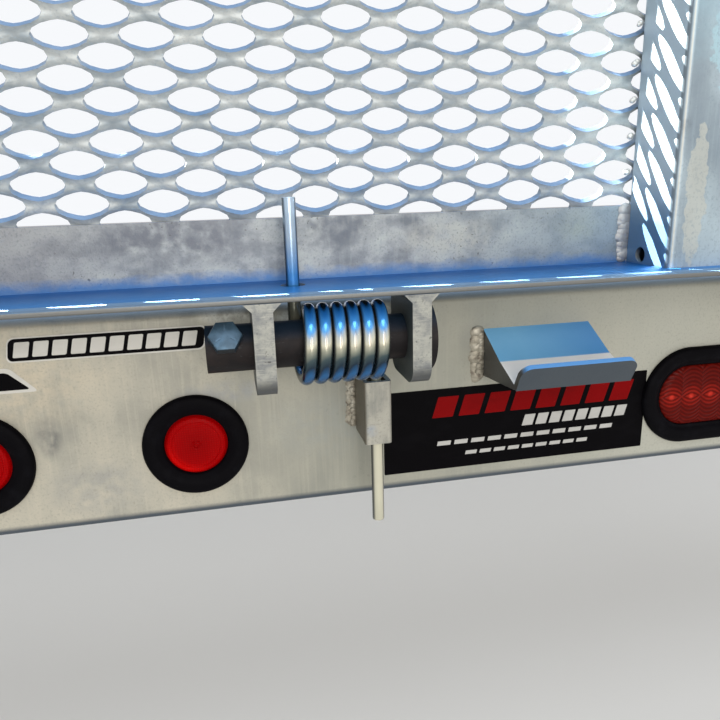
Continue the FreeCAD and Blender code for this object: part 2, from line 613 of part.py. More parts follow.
def make_mesh():
    """Expanded mesh on the deck side of the gate, drawn at four times its real pitch."""
    pitch_x, pitch_z, margin = number("mesh_long"), number("mesh_short"), number("mesh_margin")
    wall, face = number("mesh_wall"), number(FACE)
    low_z, high_z = number(f"{LEG_LOW}+mesh_low"), number(f"{TOP_LOW}+tube/2")
    bounds = [number(text) for text in ("-gate_length/2+tube/2", "-upright_offset", "upright_offset",
                                        "gate_length/2-tube/2")]
    gap = number("mesh_gap") / 2
    half_x, half_z = (pitch_x - number("bond_long")) / 2, (pitch_z - number("bond_short")) / 2
    for name, start, end in zip(("left", "middle", "right"), bounds, bounds[1:]):
        low_x, high_x = start + gap, end - gap
        across = int((high_x - low_x - 2 * margin - 2 * half_x) / pitch_x * 2) + 1
        up = int((high_z - low_z - 2 * margin - 2 * half_z) / pitch_z * 2) + 1
        shift_x = (low_x + high_x) / 2 - (across - 1) * pitch_x / 4
        shift_z = (low_z + high_z) / 2 - (up - 1) * pitch_z / 4
        corners = ((low_x, low_z), (high_x, low_z), (high_x, high_z), (low_x, high_z))
        wires = [Part.makePolygon([FreeCAD.Vector(x, face, z) for x, z in corners + corners[:1]])]
        for row in range(up):
            for column in range(row % 2, across, 2):
                x, z = shift_x + column * pitch_x / 2, shift_z + row * pitch_z / 2
                diamond = (
                    (x - half_x, z), (x, z - half_z), (x + half_x, z), (x, z + half_z), (x - half_x, z),
                )
                wires.append(Part.makePolygon([FreeCAD.Vector(px, face, pz) for px, pz in diamond]))
        sheet_face = doc.addObject("Part::Feature", f"mesh_{name}")
        sheet_face.Shape = Part.makeFace(wires, "Part::FaceMakerBullseye").extrude(FreeCAD.Vector(0, wall, 0))
        keep(f"mesh_panel_{name}", sheet_face)


def make_latches():
    """A latch plate on the outer face of each outer upright."""
    z = f"({LEG_LOW}+latch_height)"
    y = (f"{FACE}-tube/2-latch_size/2", f"{FACE}-tube/2+latch_size/2")
    plate = block("latch_blank", ("gate_length/2", "gate_length/2+latch_wall"), y,
                  (f"{z}-latch_size/2", f"{z}+latch_size/2"))
    hole = rod("latch_bore", "latch_hole", "latch_wall+2", "x", "gate_length/2-1", f"{FACE}-tube/2", z)
    keep("latch_plate_right", cut("latch_solid", plate, [hole]))
    keep("latch_plate_left", mirrored("latch_left", nodes["latch_plate_right"]))


make_sill()
make_markers()
make_tails()
make_hinges()
make_spring_pin()
make_springs()
make_anchors()
make_brackets()
make_angle()
make_frame()
make_mesh()
make_latches()
doc.recompute()

faults = [item.Name for item in doc.Objects if {"Invalid", "Error"} & set(item.State)]
faults += [name for name, item in nodes.items() if item.Shape.isNull() or not item.Shape.isValid()]
if faults:
    raise RuntimeError(f"these objects failed: {faults}")
os.makedirs("parts", exist_ok=True)
for name, item in nodes.items():
    item.Shape.exportStep(f"parts/{name}.step")
print(len(nodes), "nodes,", sum(len(item.Shape.Solids) for item in nodes.values()), "solids")
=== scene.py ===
"""Looks of a utility trailer's rear sill and its spring assisted ramp gate.

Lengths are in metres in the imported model's frame: +X to the right as seen from behind the trailer,
+Y forward into the trailer and +Z up, with the origin in the middle of the sill's underside.
Finishes, stickers and the outlines of the lamps are in millimetres.
"""
import json
import logging
import math
from dataclasses import dataclass, field
from enum import Enum
from typing import Iterable

import bmesh
import bpy
from mathutils import Matrix, Vector

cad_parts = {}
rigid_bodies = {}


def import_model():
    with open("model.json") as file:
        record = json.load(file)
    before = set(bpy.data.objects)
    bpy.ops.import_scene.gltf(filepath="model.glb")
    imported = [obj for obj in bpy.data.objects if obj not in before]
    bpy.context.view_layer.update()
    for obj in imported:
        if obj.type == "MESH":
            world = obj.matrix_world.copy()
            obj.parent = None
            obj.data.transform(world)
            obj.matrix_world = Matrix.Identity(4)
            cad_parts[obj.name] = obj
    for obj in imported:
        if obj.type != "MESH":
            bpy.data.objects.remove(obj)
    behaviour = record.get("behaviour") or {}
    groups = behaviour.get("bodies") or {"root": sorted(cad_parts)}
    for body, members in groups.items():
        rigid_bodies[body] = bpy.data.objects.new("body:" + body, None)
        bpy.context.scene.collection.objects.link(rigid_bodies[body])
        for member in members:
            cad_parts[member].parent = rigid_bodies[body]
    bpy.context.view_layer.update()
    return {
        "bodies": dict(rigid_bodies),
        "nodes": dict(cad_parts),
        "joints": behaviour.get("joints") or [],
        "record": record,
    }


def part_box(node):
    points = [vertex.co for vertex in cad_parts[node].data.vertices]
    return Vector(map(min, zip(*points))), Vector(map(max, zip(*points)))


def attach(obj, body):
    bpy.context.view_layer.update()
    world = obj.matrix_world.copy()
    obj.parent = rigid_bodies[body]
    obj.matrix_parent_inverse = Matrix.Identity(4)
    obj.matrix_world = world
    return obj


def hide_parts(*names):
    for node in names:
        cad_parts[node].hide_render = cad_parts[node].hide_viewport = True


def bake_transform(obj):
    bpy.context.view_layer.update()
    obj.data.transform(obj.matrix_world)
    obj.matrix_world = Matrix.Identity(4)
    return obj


MM = 0.001
SCATTER = (12.9898, 78.233, 43758.5453)  # the usual numbers of a sine hash
LOG = logging.getLogger("ramp_gate")
Corner = tuple[float, float]
Point = tuple[float, float, float]
Shape = bmesh.types.BMesh
Tree = bpy.types.NodeTree
Socket = bpy.types.NodeSocket
Value = Socket | float
Inputs = dict[str | int, Value | tuple]


class Body(str, Enum):
    """The two bodies that pieces ride on."""

    SILL = "sill"
    GATE = "gate"


class Slot(str, Enum):
    """The names of the record's material slots."""

    STEEL = "galvanised_steel"
    MESH = "galvanised_mesh"
    WIRE = "zinc_spring_wire"
    FASTENER = "zinc_fastener"
    RUBBER = "grommet_rubber"
    LENS = "red_lens"


class Side(Enum):
    """The left and right half of the part."""

    LEFT = -1
    RIGHT = 1

    @property
    def word(self) -> str:
        """The word that ends the names of this side's nodes."""
        return self.name.lower()


def linear(code: str) -> tuple[float, float, float, float]:
    """Turn an sRGB hex colour into linear light.

    Args:
        code: The colour, such as "#a0b0c0".

    Returns:
        Red, green, blue and an alpha of one.
    """
    channels = []
    for start in (1, 3, 5):
        level = int(code[start:start + 2], 16) / 255
        channels.append(level / 12.92 if level <= 0.04045 else ((level + 0.055) / 1.055) ** 2.4)
    return (channels[0], channels[1], channels[2], 1.0)


def node(tree: Tree, kind: str, inputs: Inputs | None = None, **settings) -> bpy.types.Node:
    """Add a node with its settings and links.

    Args:
        tree: The node tree it goes into.
        kind: The node's type.
        inputs: Socket name or number to a value, or to the socket that feeds it.
        **settings: The node's own properties.

    Returns:
        The new node.
    """
    made = tree.nodes.new(kind)
    for key, value in settings.items():
        setattr(made, key, value)
    for key, value in (inputs or {}).items():
        if isinstance(value, Socket):
            tree.links.new(value, made.inputs[key])
        else:
            made.inputs[key].default_value = value
    return made


def maths(tree: Tree, operation: str, *values: Value) -> Socket:
    """One number worked out from others."""
    return node(tree, "ShaderNodeMath", dict(enumerate(values)), operation=operation).outputs["Value"]


class Tint:
    """Builds up a surface's colour, layer over layer, in one node tree."""

    MIX_FACTOR, MIX_A, MIX_B, MIX_RESULT = 0, 6, 7, 2

    def __init__(self, tree: Tree, base: str) -> None:
        """Start from a plain colour, given as a hex code."""
        self.tree = tree
        self.place = node(tree, "ShaderNodeTexCoord")
        self.colour: Socket | tuple = linear(base)

    def over(self, code: str, factor: Value) -> None:
        """Lay a colour over what is there, as strongly as the factor says."""
        layers = {self.MIX_FACTOR: factor, self.MIX_A: self.colour, self.MIX_B: linear(code)}
        self.colour = node(self.tree, "ShaderNodeMix", layers, data_type="RGBA").outputs[self.MIX_RESULT]

    def stretched(self, size: Point | float, centre: Point = (0, 0, 0)) -> Socket:
        """Object coordinates in which one pattern cell has a real size.

        Args:
            size: The cell's size along X, Y and Z in millimetres, or one size for all three.
            centre: The point in millimetres that becomes the origin.

        Returns:
            The scaled coordinates.
        """
        sizes = size if isinstance(size, tuple) else (size,) * 3
        shift = tuple(-middle / length for middle, length in zip(centre, sizes))
        scale = tuple(1 / (length * MM) for length in sizes)
        placed = {"Vector": self.place.outputs["Object"], "Location": shift, "Scale": scale}
        return node(self.tree, "ShaderNodeMapping", placed).outputs["Vector"]

    def noise(self, size: Point | float, detail: float = 3, rough: float = 0.55) -> Socket:
        """Cloudy noise whose cells have a real size in millimetres."""
        pattern = {"Vector": self.stretched(size), "Scale": 1.0, "Detail": detail, "Roughness": rough}
        return node(self.tree, "ShaderNodeTexNoise", pattern).outputs["Fac"]

    def ball(self, reach: Point, centre: Point) -> Socket:
        """One at a centre, falling to zero at its reach each way."""
        return node(self.tree, "ShaderNodeTexGradient", {"Vector": self.stretched(reach, centre)},
                    gradient_type="SPHERICAL").outputs["Fac"]

    def ranged(self, value: Socket, low: float, high: float, top: float = 1.0) -> Socket:
        """Spread the values between low and high over 0 to top."""
        spread = {"Value": value, "From Min": low, "From Max": high, "To Min": 0.0, "To Max": top}
        return node(self.tree, "ShaderNodeMapRange", spread).outputs["Result"]

    def times(self, one: Socket, other: Socket) -> Socket:
        """One value times another."""
        return maths(self.tree, "MULTIPLY", one, other)

    def looking(self, way: Point = (0.0, 0.0, 1.0)) -> Socket:
        """How squarely a face looks one way, from minus one to one, in the piece's own coordinates."""
        return node(self.tree, "ShaderNodeVectorMath", {0: self.place.outputs["Normal"], 1: way},
                    operation="DOT_PRODUCT").outputs["Value"]

    def along(self, axis: str) -> Socket:
        """One object coordinate, in metres."""
        split = node(self.tree, "ShaderNodeSeparateXYZ", {"Vector": self.place.outputs["Object"]})
        return split.outputs[axis]

    def bump(self, height: Socket, depth: float, strength: float) -> Socket:
        """A bumped normal from a height, whose full range is a depth in millimetres."""
        relief = {"Height": height, "Distance": depth * MM, "Strength": strength}
        return node(self.tree, "ShaderNodeBump", relief).outputs["Normal"]

    def cloudy(self, code: str, size: Point | float, low: float, high: float, top: float = 1.0,
               detail: float = 3) -> None:
        """Lay a colour on in clouds.

        Args:
            code: The colour.
            size: The clouds' size in millimetres.
            low: The noise value where the colour sets in.
            high: The noise value where it is full.
            top: How strong it gets.
            detail: How finely the clouds are torn.
        """
        self.over(code, self.ranged(self.noise(size, detail), low, high, top))

    def facing(self, code: str, low: float, high: float, top: float = 1.0,
               way: Point = (0.0, 0.0, 1.0)) -> None:
        """Lay a colour on the faces that look one way, from low to high of how squarely they do."""
        self.over(code, self.ranged(self.looking(way), low, high, top))


@dataclass(frozen=True)
class Drift:
    """A colour that comes in along one axis, between two places in millimetres.

    It can be kept to faces that look one way, and its edge can wander by a few millimetres.
    """

    axis: str
    start: float
    end: float
    colour: str
    amount: float = 1.0
    facing: Point | None = None
    near: tuple[float, float] = (0.45, 0.9)
    ragged: float = 0.0

    EDGE = (12.0, 12.0, 8.0)  # size of the edge's wander in millimetres

    def over(self, tint: Tint) -> None:
        """Lay the colour on.

        Args:
            tint: The surface's colour, which takes it.
        """
        place = tint.along(self.axis)
        if self.ragged:
            wander = tint.noise(self.EDGE, detail=7, rough=0.65)
            place = maths(tint.tree, "MULTIPLY_ADD", wander, 4 * self.ragged * MM, place)
        shift = 2 * self.ragged  # noise lies round a half
        share = tint.ranged(place, (self.start + shift) * MM, (self.end + shift) * MM, self.amount)
        if self.facing is not None:
            share = tint.times(share, tint.ranged(tint.looking(self.facing), *self.near))
        tint.over(self.colour, share)


@dataclass(frozen=True)
class Smudge:
    """A patch of colour round a centre, with its reach each way in millimetres; a crisp one's rim is hard."""

    centre: Point
    reach: Point
    colour: str
    amount: float = 0.6
    crisp: bool = False

    TEAR = 9.0  # size of the tears in its edge in millimetres

    def over(self, tint: Tint) -> None:
        """Lay the patch on.

        Args:
            tint: The surface's colour, which takes it.
        """
        near = tint.ball(self.reach, self.centre)
        cloud = tint.noise(self.TEAR, 5)
        if self.crisp:
            both = maths(tint.tree, "MULTIPLY_ADD", cloud, 1.2, near)
            tint.over(self.colour, tint.ranged(both, 0.84, 0.9, self.amount))
        else:
            torn = tint.times(tint.ranged(near, 0.0, 0.6), tint.ranged(cloud, 0.3, 0.6))
            tint.over(self.colour, tint.ranged(torn, 0.0, 1.0, self.amount))


@dataclass(frozen=True)
class Finish:
    """A surface finish, plain unless a subclass dresses it. Each material is built once."""

    name: str
    tone: str = "#dcdad5"
    roughness: float = 0.8

    def build(self) -> bpy.types.Material:
        """Make the material, or find the one that was made before."""
        found = bpy.data.materials.get(self.name)
        if found is not None:
            return found
        material = bpy.data.materials.new(self.name)
        material.use_nodes = True
        tree = material.node_tree
        tree.nodes.clear()
        tint = Tint(tree, self.tone)
        inputs = self.dress(tint)
        shader = node(tree, "ShaderNodeBsdfPrincipled", {**inputs, "Base Color": tint.colour})
        node(tree, "ShaderNodeOutputMaterial", {"Surface": shader.outputs["BSDF"]})
        return material

    def dress(self, tint: Tint) -> Inputs:
        """Lay the finish's colours on.

        Args:
            tint: The surface's colour, which takes them.

        Returns:
            The shader's inputs besides the colour.
        """
        return {"Roughness": self.roughness}


@dataclass(frozen=True)
class Galvanised(Finish):
    """Hot dip galvanised steel: a cloudy, speckled zinc skin, dull where it has weathered.

    Faces that lie flat take a painted blue sky reflection, and faces that look down take painted shade.
    """

    tone: str = "#9a9c99"
    roughness: float = 0.42
    pale: str = "#b7b6ae"
    dark: str = "#7f8282"
    # painted blue sky reflection, laid on faces that lie flat
    bloom: str = "#5c8fc0"
    bloom_amount: float = 0.75
    # painted shade, laid on faces that look down
    under: str = "#55585a"
    under_amount: float = 0.7
    cloud: Point = (60.0, 60.0, 60.0)
    streak: Point = (5.0, 5.0, 90.0)
    streak_amount: float = 0.35
    speck: float = 0.5
    metallic: float = 0.6
    specular: float = 0.5
    marks: tuple[Drift | Smudge, ...] = ()
    # drifts kept to faces that look one way; the palette uses most of them for painted light and shade
    faces: tuple[Drift, ...] = ()

    GRAIN = 1.6  # zinc grain in millimetres, drawn coarser than the real 0.5 so that it shows
    SPECK = (2.2, 2.2, 2.6)  # dross specks, about a millimetre across once thresholded
    FIELD = 40.0  # size of the fields that have specks
    DROSS = "#4b4a47"
    # where each layer sets in and where it is full, as values of its noise or of how far a face looks up
    PALE_CLOUDS, DARK_CLOUDS, PALE_STREAKS, DARK_GRAIN = (0.45, 0.72), (0.5, 0.3), (0.5, 0.75), (0.52, 0.75)
    SPECKS, SPECKED_FIELDS, LOOKS_UP, LOOKS_DOWN = (0.66, 0.72), (0.45, 0.6), (0.35, 0.95), (-0.2, -0.8)

    def dress(self, tint: Tint) -> Inputs:
        """Clouds, streaks, marks, grain, specks, painted sky reflection and painted shade, from below to
        above.
        """
        clouds = tint.noise(self.cloud, detail=5)
        tint.over(self.pale, tint.ranged(clouds, *self.PALE_CLOUDS))
        tint.over(self.dark, tint.ranged(clouds, *self.DARK_CLOUDS))
        tint.cloudy(self.pale, self.streak, *self.PALE_STREAKS, self.streak_amount)
        for mark in self.marks:
            mark.over(tint)
        grain = tint.noise(self.GRAIN, detail=4)
        tint.over(self.dark, tint.ranged(grain, *self.DARK_GRAIN, 0.6))
        fields = tint.ranged(tint.noise(self.FIELD), *self.SPECKED_FIELDS, self.speck)
        tint.over(self.DROSS, tint.times(tint.ranged(tint.noise(self.SPECK, 1), *self.SPECKS), fields))
        # painted sky reflection on faces that look up, then painted shade on faces that look down
        tint.facing(self.bloom, *self.LOOKS_UP, self.bloom_amount)
        tint.facing(self.under, *self.LOOKS_DOWN, self.under_amount)
        for drift in self.faces:
            drift.over(tint)
        rough = node(tint.tree, "ShaderNodeMapRange", {
            "Value": clouds, "To Min": self.roughness - 0.1, "To Max": self.roughness + 0.14})
        return {"Metallic": self.metallic, "Specular IOR Level": self.specular,
                "Roughness": rough.outputs["Result"], "Normal": tint.bump(grain, 0.25, 0.35)}


@dataclass(frozen=True)
class WeldZinc(Finish):
    """A weld bead under zinc: rippled and duller, with brown burnt edges."""

    tone: str = "#a09a8b"
    burnt: str = "#62564a"
    pale: str = "#cdc8b9"
    # painted blue sky reflection on faces that look up
    sky: str = "#8fa5b8"

    PATCH, RIPPLE = 7.0, 1.2  # sizes in millimetres

    def dress(self, tint: Tint) -> Inputs:
        """Pale and burnt patches over the grey bead, and a painted blue sky reflection on top."""
        tint.cloudy(self.pale, self.PATCH, 0.5, 0.7, 0.8, detail=5)
        tint.cloudy(self.burnt, self.PATCH, 0.44, 0.33, 0.8, detail=5)
        # painted sky reflection on top
        tint.facing(self.sky, 0.5, 1.0, 0.4)
        return {"Metallic": 0.5, "Roughness": 0.5, "Normal": tint.bump(tint.noise(self.RIPPLE), 0.3, 0.5)}


@dataclass(frozen=True)
class BrightZinc(Finish):
    """Bright zinc plate, glossy, under a painted reflection: blue above, cream at the side and navy below.

    The painted reflection goes by how far a face looks up, the arms' painted reflection by height, and
    painted shade between the turns by how far a face looks aside.
    """

    tone: str = "#9fb0bd"
    roughness: float = 0.16
    # painted reflection, as colours by how far a face looks up
    sheen: tuple[tuple[float, str], ...] = (
        (-1.0, "#16222c"), (-0.78, "#0d4a78"), (-0.58, "#125c94"), (-0.36, "#10283a"), (-0.17, "#3c4d50"),
        (0.0, "#8d8f80"), (0.15, "#d0cbb4"), (0.32, "#b4bab8"), (0.46, "#5fa6e4"), (0.68, "#4aa6ff"),
        (0.85, "#2a84e4"), (0.93, "#0b2f48"), (1.0, "#041820"),
    )
    # painted reflection on the arms, by height
    arms: tuple[Drift, ...] = (Drift("Z", 164, 167, "#3d86c4", 0.95), Drift("Z", 176, 200, "#aebfce", 0.95),
                               Drift("Z", 100, 97, "#d2ceb8", 0.9))
    # a painted brown reflection band along the crown
    crown: str = "#6b5f58"
    # painted shade between the turns
    painted_turn_shade: str = "#0c1e2c"
    flanks: tuple[Corner, ...] = ((0.62, 0.9), (-0.62, -0.9))

    WOBBLE = 14.0  # length in millimetres over which the painted reflection wavers
    DIE_LINES = (3.0, 0.8, 0.8)  # lines that the drawing die leaves, under a tenth of a millimetre deep

    def dress(self, tint: Tint) -> Inputs:
        """The painted reflection, a painted brown reflection band at the crown, the arms' painted reflection
        and painted shade between the turns.
        """
        sway = maths(tint.tree, "MULTIPLY_ADD", tint.noise(self.WOBBLE, detail=2), 0.16, -0.08)
        level = maths(tint.tree, "ADD", tint.looking(), sway)
        ramp = node(tint.tree, "ShaderNodeValToRGB", {"Fac": tint.ranged(level, -1.0, 1.0)})
        stops = ramp.color_ramp.elements
        while len(stops) < len(self.sheen):
            stops.new(0.5)
        for stop, (place, code) in zip(stops, self.sheen):
            stop.position = (place + 1) / 2
            stop.color = linear(code)
        tint.colour = ramp.outputs["Color"]
        aside = tint.looking((1.0, 0.0, 0.0))
        crown = tint.times(tint.ranged(aside, -0.2, -0.05), tint.ranged(aside, 0.14, 0.0))
        band = tint.times(tint.ranged(level, 0.04, 0.16), tint.ranged(level, 0.5, 0.34))
        tint.over(self.crown, tint.ranged(tint.times(crown, band), 0.0, 1.0, 0.75))
        # painted reflection on the arms
        for arm in self.arms:
            arm.over(tint)
        # painted shade between the turns, on faces that look aside
        for low, high in self.flanks:
            tint.over(self.painted_turn_shade, tint.ranged(aside, low, high, 0.9))
        return {"Metallic": 0.4, "Roughness": self.roughness,
                "Normal": tint.bump(tint.noise(self.DIE_LINES), 0.08, 0.25)}


@dataclass(frozen=True)
class Plated(Finish):
    """Zinc plated fastener: smooth and blue grey, with a thin dull film."""

    tone: str = "#3b5263"
    pale: str = "#527086"
    pit: str = "#3d4b55"
    # painted shade on faces that look down
    under: str = "#181b1e"

    def dress(self, tint: Tint) -> Inputs:
        """Small cloudy patches on a smooth plate, and painted shade on faces that look down."""
        film = tint.noise(6.0, detail=4)
        tint.over(self.pale, tint.ranged(film, 0.45, 0.7, 0.8))
        tint.cloudy(self.pit, 1.5, 0.58, 0.7, 0.5)
        # painted shade underneath
        tint.facing(self.under, -0.2, -0.7, 0.9)
        return {"Metallic": 0.45, "Roughness": 0.38, "Normal": tint.bump(film, 0.1, 0.3)}


@dataclass(frozen=True)
class MillScale(Finish):
    """Hot rolled bar, left black: mill scale with a painted blue reflection on top and a few rubbed marks."""

    tone: str = "#1d1a1b"
    brown: str = "#2b2422"
    # painted blue reflection on faces that look up
    oil: str = "#22364a"
    rubbed: str = "#4a4b4c"

    def dress(self, tint: Tint) -> Inputs:
        """Blue black scale, brown where rubbed, and lighter on top with a painted reflection."""
        tint.cloudy(self.brown, 12.0, 0.5, 0.7, 0.7, detail=5)
        # painted reflection on top
        tint.facing(self.oil, 0.35, 0.9, 0.8)
        tint.cloudy(self.rubbed, (4.0, 1.2, 1.2), 0.66, 0.74, 0.4, detail=2)
        return {"Metallic": 0.3, "Specular IOR Level": 0.2, "Roughness": 0.55,
                "Normal": tint.bump(tint.noise(1.8), 0.2, 0.4)}


@dataclass(frozen=True)
class MouldedRubber(Finish):
    """Moulded black rubber: matt, a little dusty, with a faint sheen on its shoulders."""

    tone: str = "#060508"
    dust: str = "#15151a"

    def dress(self, tint: Tint) -> Inputs:
        """Black with a thin grey dust."""
        tint.cloudy(self.dust, 15.0, 0.5, 0.75, 0.5, detail=4)
        return {"Roughness": 0.6, "Specular IOR Level": 0.05, "Normal": tint.bump(tint.noise(0.9), 0.06, 0.3)}


@dataclass(frozen=True)
class RibbedLens(Finish):
    """Red acrylic lens over a bright reflector: glossy, with fine prism ribs moulded inside."""

    tone: str = "#9c0002"
    bright: str = "#cc0604"
    deep: str = "#760002"
    centre: Point = (0.0, 0.0, 55.5)
    radius: float = 21.6
    rib: float = 1.7

    def dress(self, tint: Tint) -> Inputs:
        """A darker middle, a painted bright reflection on the lower left of the rim, and crossed ribs."""
        spread = (self.radius, self.radius * 4, self.radius)
        near = tint.ball(spread, self.centre)
        tint.over(self.deep, tint.ranged(near, 0.15, 0.75, 0.5))
        # a painted bright reflection on the lower left of the rim
        low_left = (self.centre[0] - self.radius * 0.5, self.centre[1], self.centre[2] - self.radius * 0.6)
        painted_rim_light = tint.ranged(tint.ball(spread, low_left), 0.1, 0.7)
        tint.over(self.bright, tint.times(painted_rim_light, tint.ranged(near, 0.35, 0.1)))
        waves = {"Vector": tint.stretched(self.rib), "Scale": 0.32}
        ribs = tint.times(*(node(tint.tree, "ShaderNodeTexWave", waves, bands_direction=axis).outputs["Fac"]
                            for axis in "XZ"))
        tint.over(self.bright, tint.ranged(ribs, 0.5, 1.0, 0.25))
        tint.over(self.deep, tint.ranged(ribs, 0.3, 0.0, 0.25))
        return {"Roughness": 0.3, "Specular IOR Level": 0.04, "Normal": tint.bump(ribs, 0.25, 0.5)}


@dataclass(frozen=True)
class FlutedLens(Finish):
    """Red acrylic lens of a light emitting diode lamp: arched flutes round each of its diodes."""

    tone: str = "#74120a"
    bright: str = "#9a2216"
    deep: str = "#460804"
    lamp: str = "#d83a2c"
    spacing: float = 18.0
    middle: float = 55.5
    flute: float = 3.4

    ARCH = 55.0  # how steeply the flutes bend down beside a diode, per metre

    def dress(self, tint: Tint) -> Inputs:
        """Arches over and under a row of diodes, by the height from the row and the way to the nearest."""
        tree, half = tint.tree, self.spacing * MM / 2
        across = maths(tree, "WRAP", tint.along("X"), half, -half)
        rise = maths(tree, "SUBTRACT", tint.along("Z"), self.middle * MM)
        across_squared = tint.times(across, across)
        away = maths(tree, "SQRT", maths(tree, "ADD", across_squared, tint.times(rise, rise)))
        reach = maths(tree, "DIVIDE", away, self.spacing * MM)
        arched = maths(tree, "MULTIPLY_ADD", across_squared, self.ARCH, maths(tree, "ABSOLUTE", rise))
        rings = maths(tree, "SINE", maths(tree, "MULTIPLY", arched, math.tau / (self.flute * MM)))
        tint.over(self.bright, tint.ranged(rings, 0.0, 1.0, 0.7))
        tint.over(self.deep, tint.ranged(rings, 0.0, -1.0, 0.6))
        tint.over(self.deep, tint.ranged(reach, 0.35, 0.62, 0.7))
        tint.over(self.lamp, tint.ranged(reach, 0.16, 0.04, 0.75))
        tint.cloudy(self.deep, (5.0, 5.0, 3.0), 0.5, 0.75, 0.5, detail=4)
        return {"Roughness": 0.28, "Specular IOR Level": 0.06, "Normal": tint.bump(rings, 0.3, 0.5)}


@dataclass(frozen=True)
class Vinyl(Finish):
    """Printed vinyl film, laid on the sheet: smooth, with a low satin gloss and faint dust."""

    tone: str = "#050406"
    dust: str = "#121114"

    def dress(self, tint: Tint) -> Inputs:
        """A flat print with a little dust."""
        tint.cloudy(self.dust, (26.0, 26.0, 12.0), 0.5, 0.8, 0.45, detail=5)
        waves = tint.bump(tint.noise(4.0), 0.05, 0.2)
        return {"Roughness": 0.45, "Specular IOR Level": 0.04, "Normal": waves}


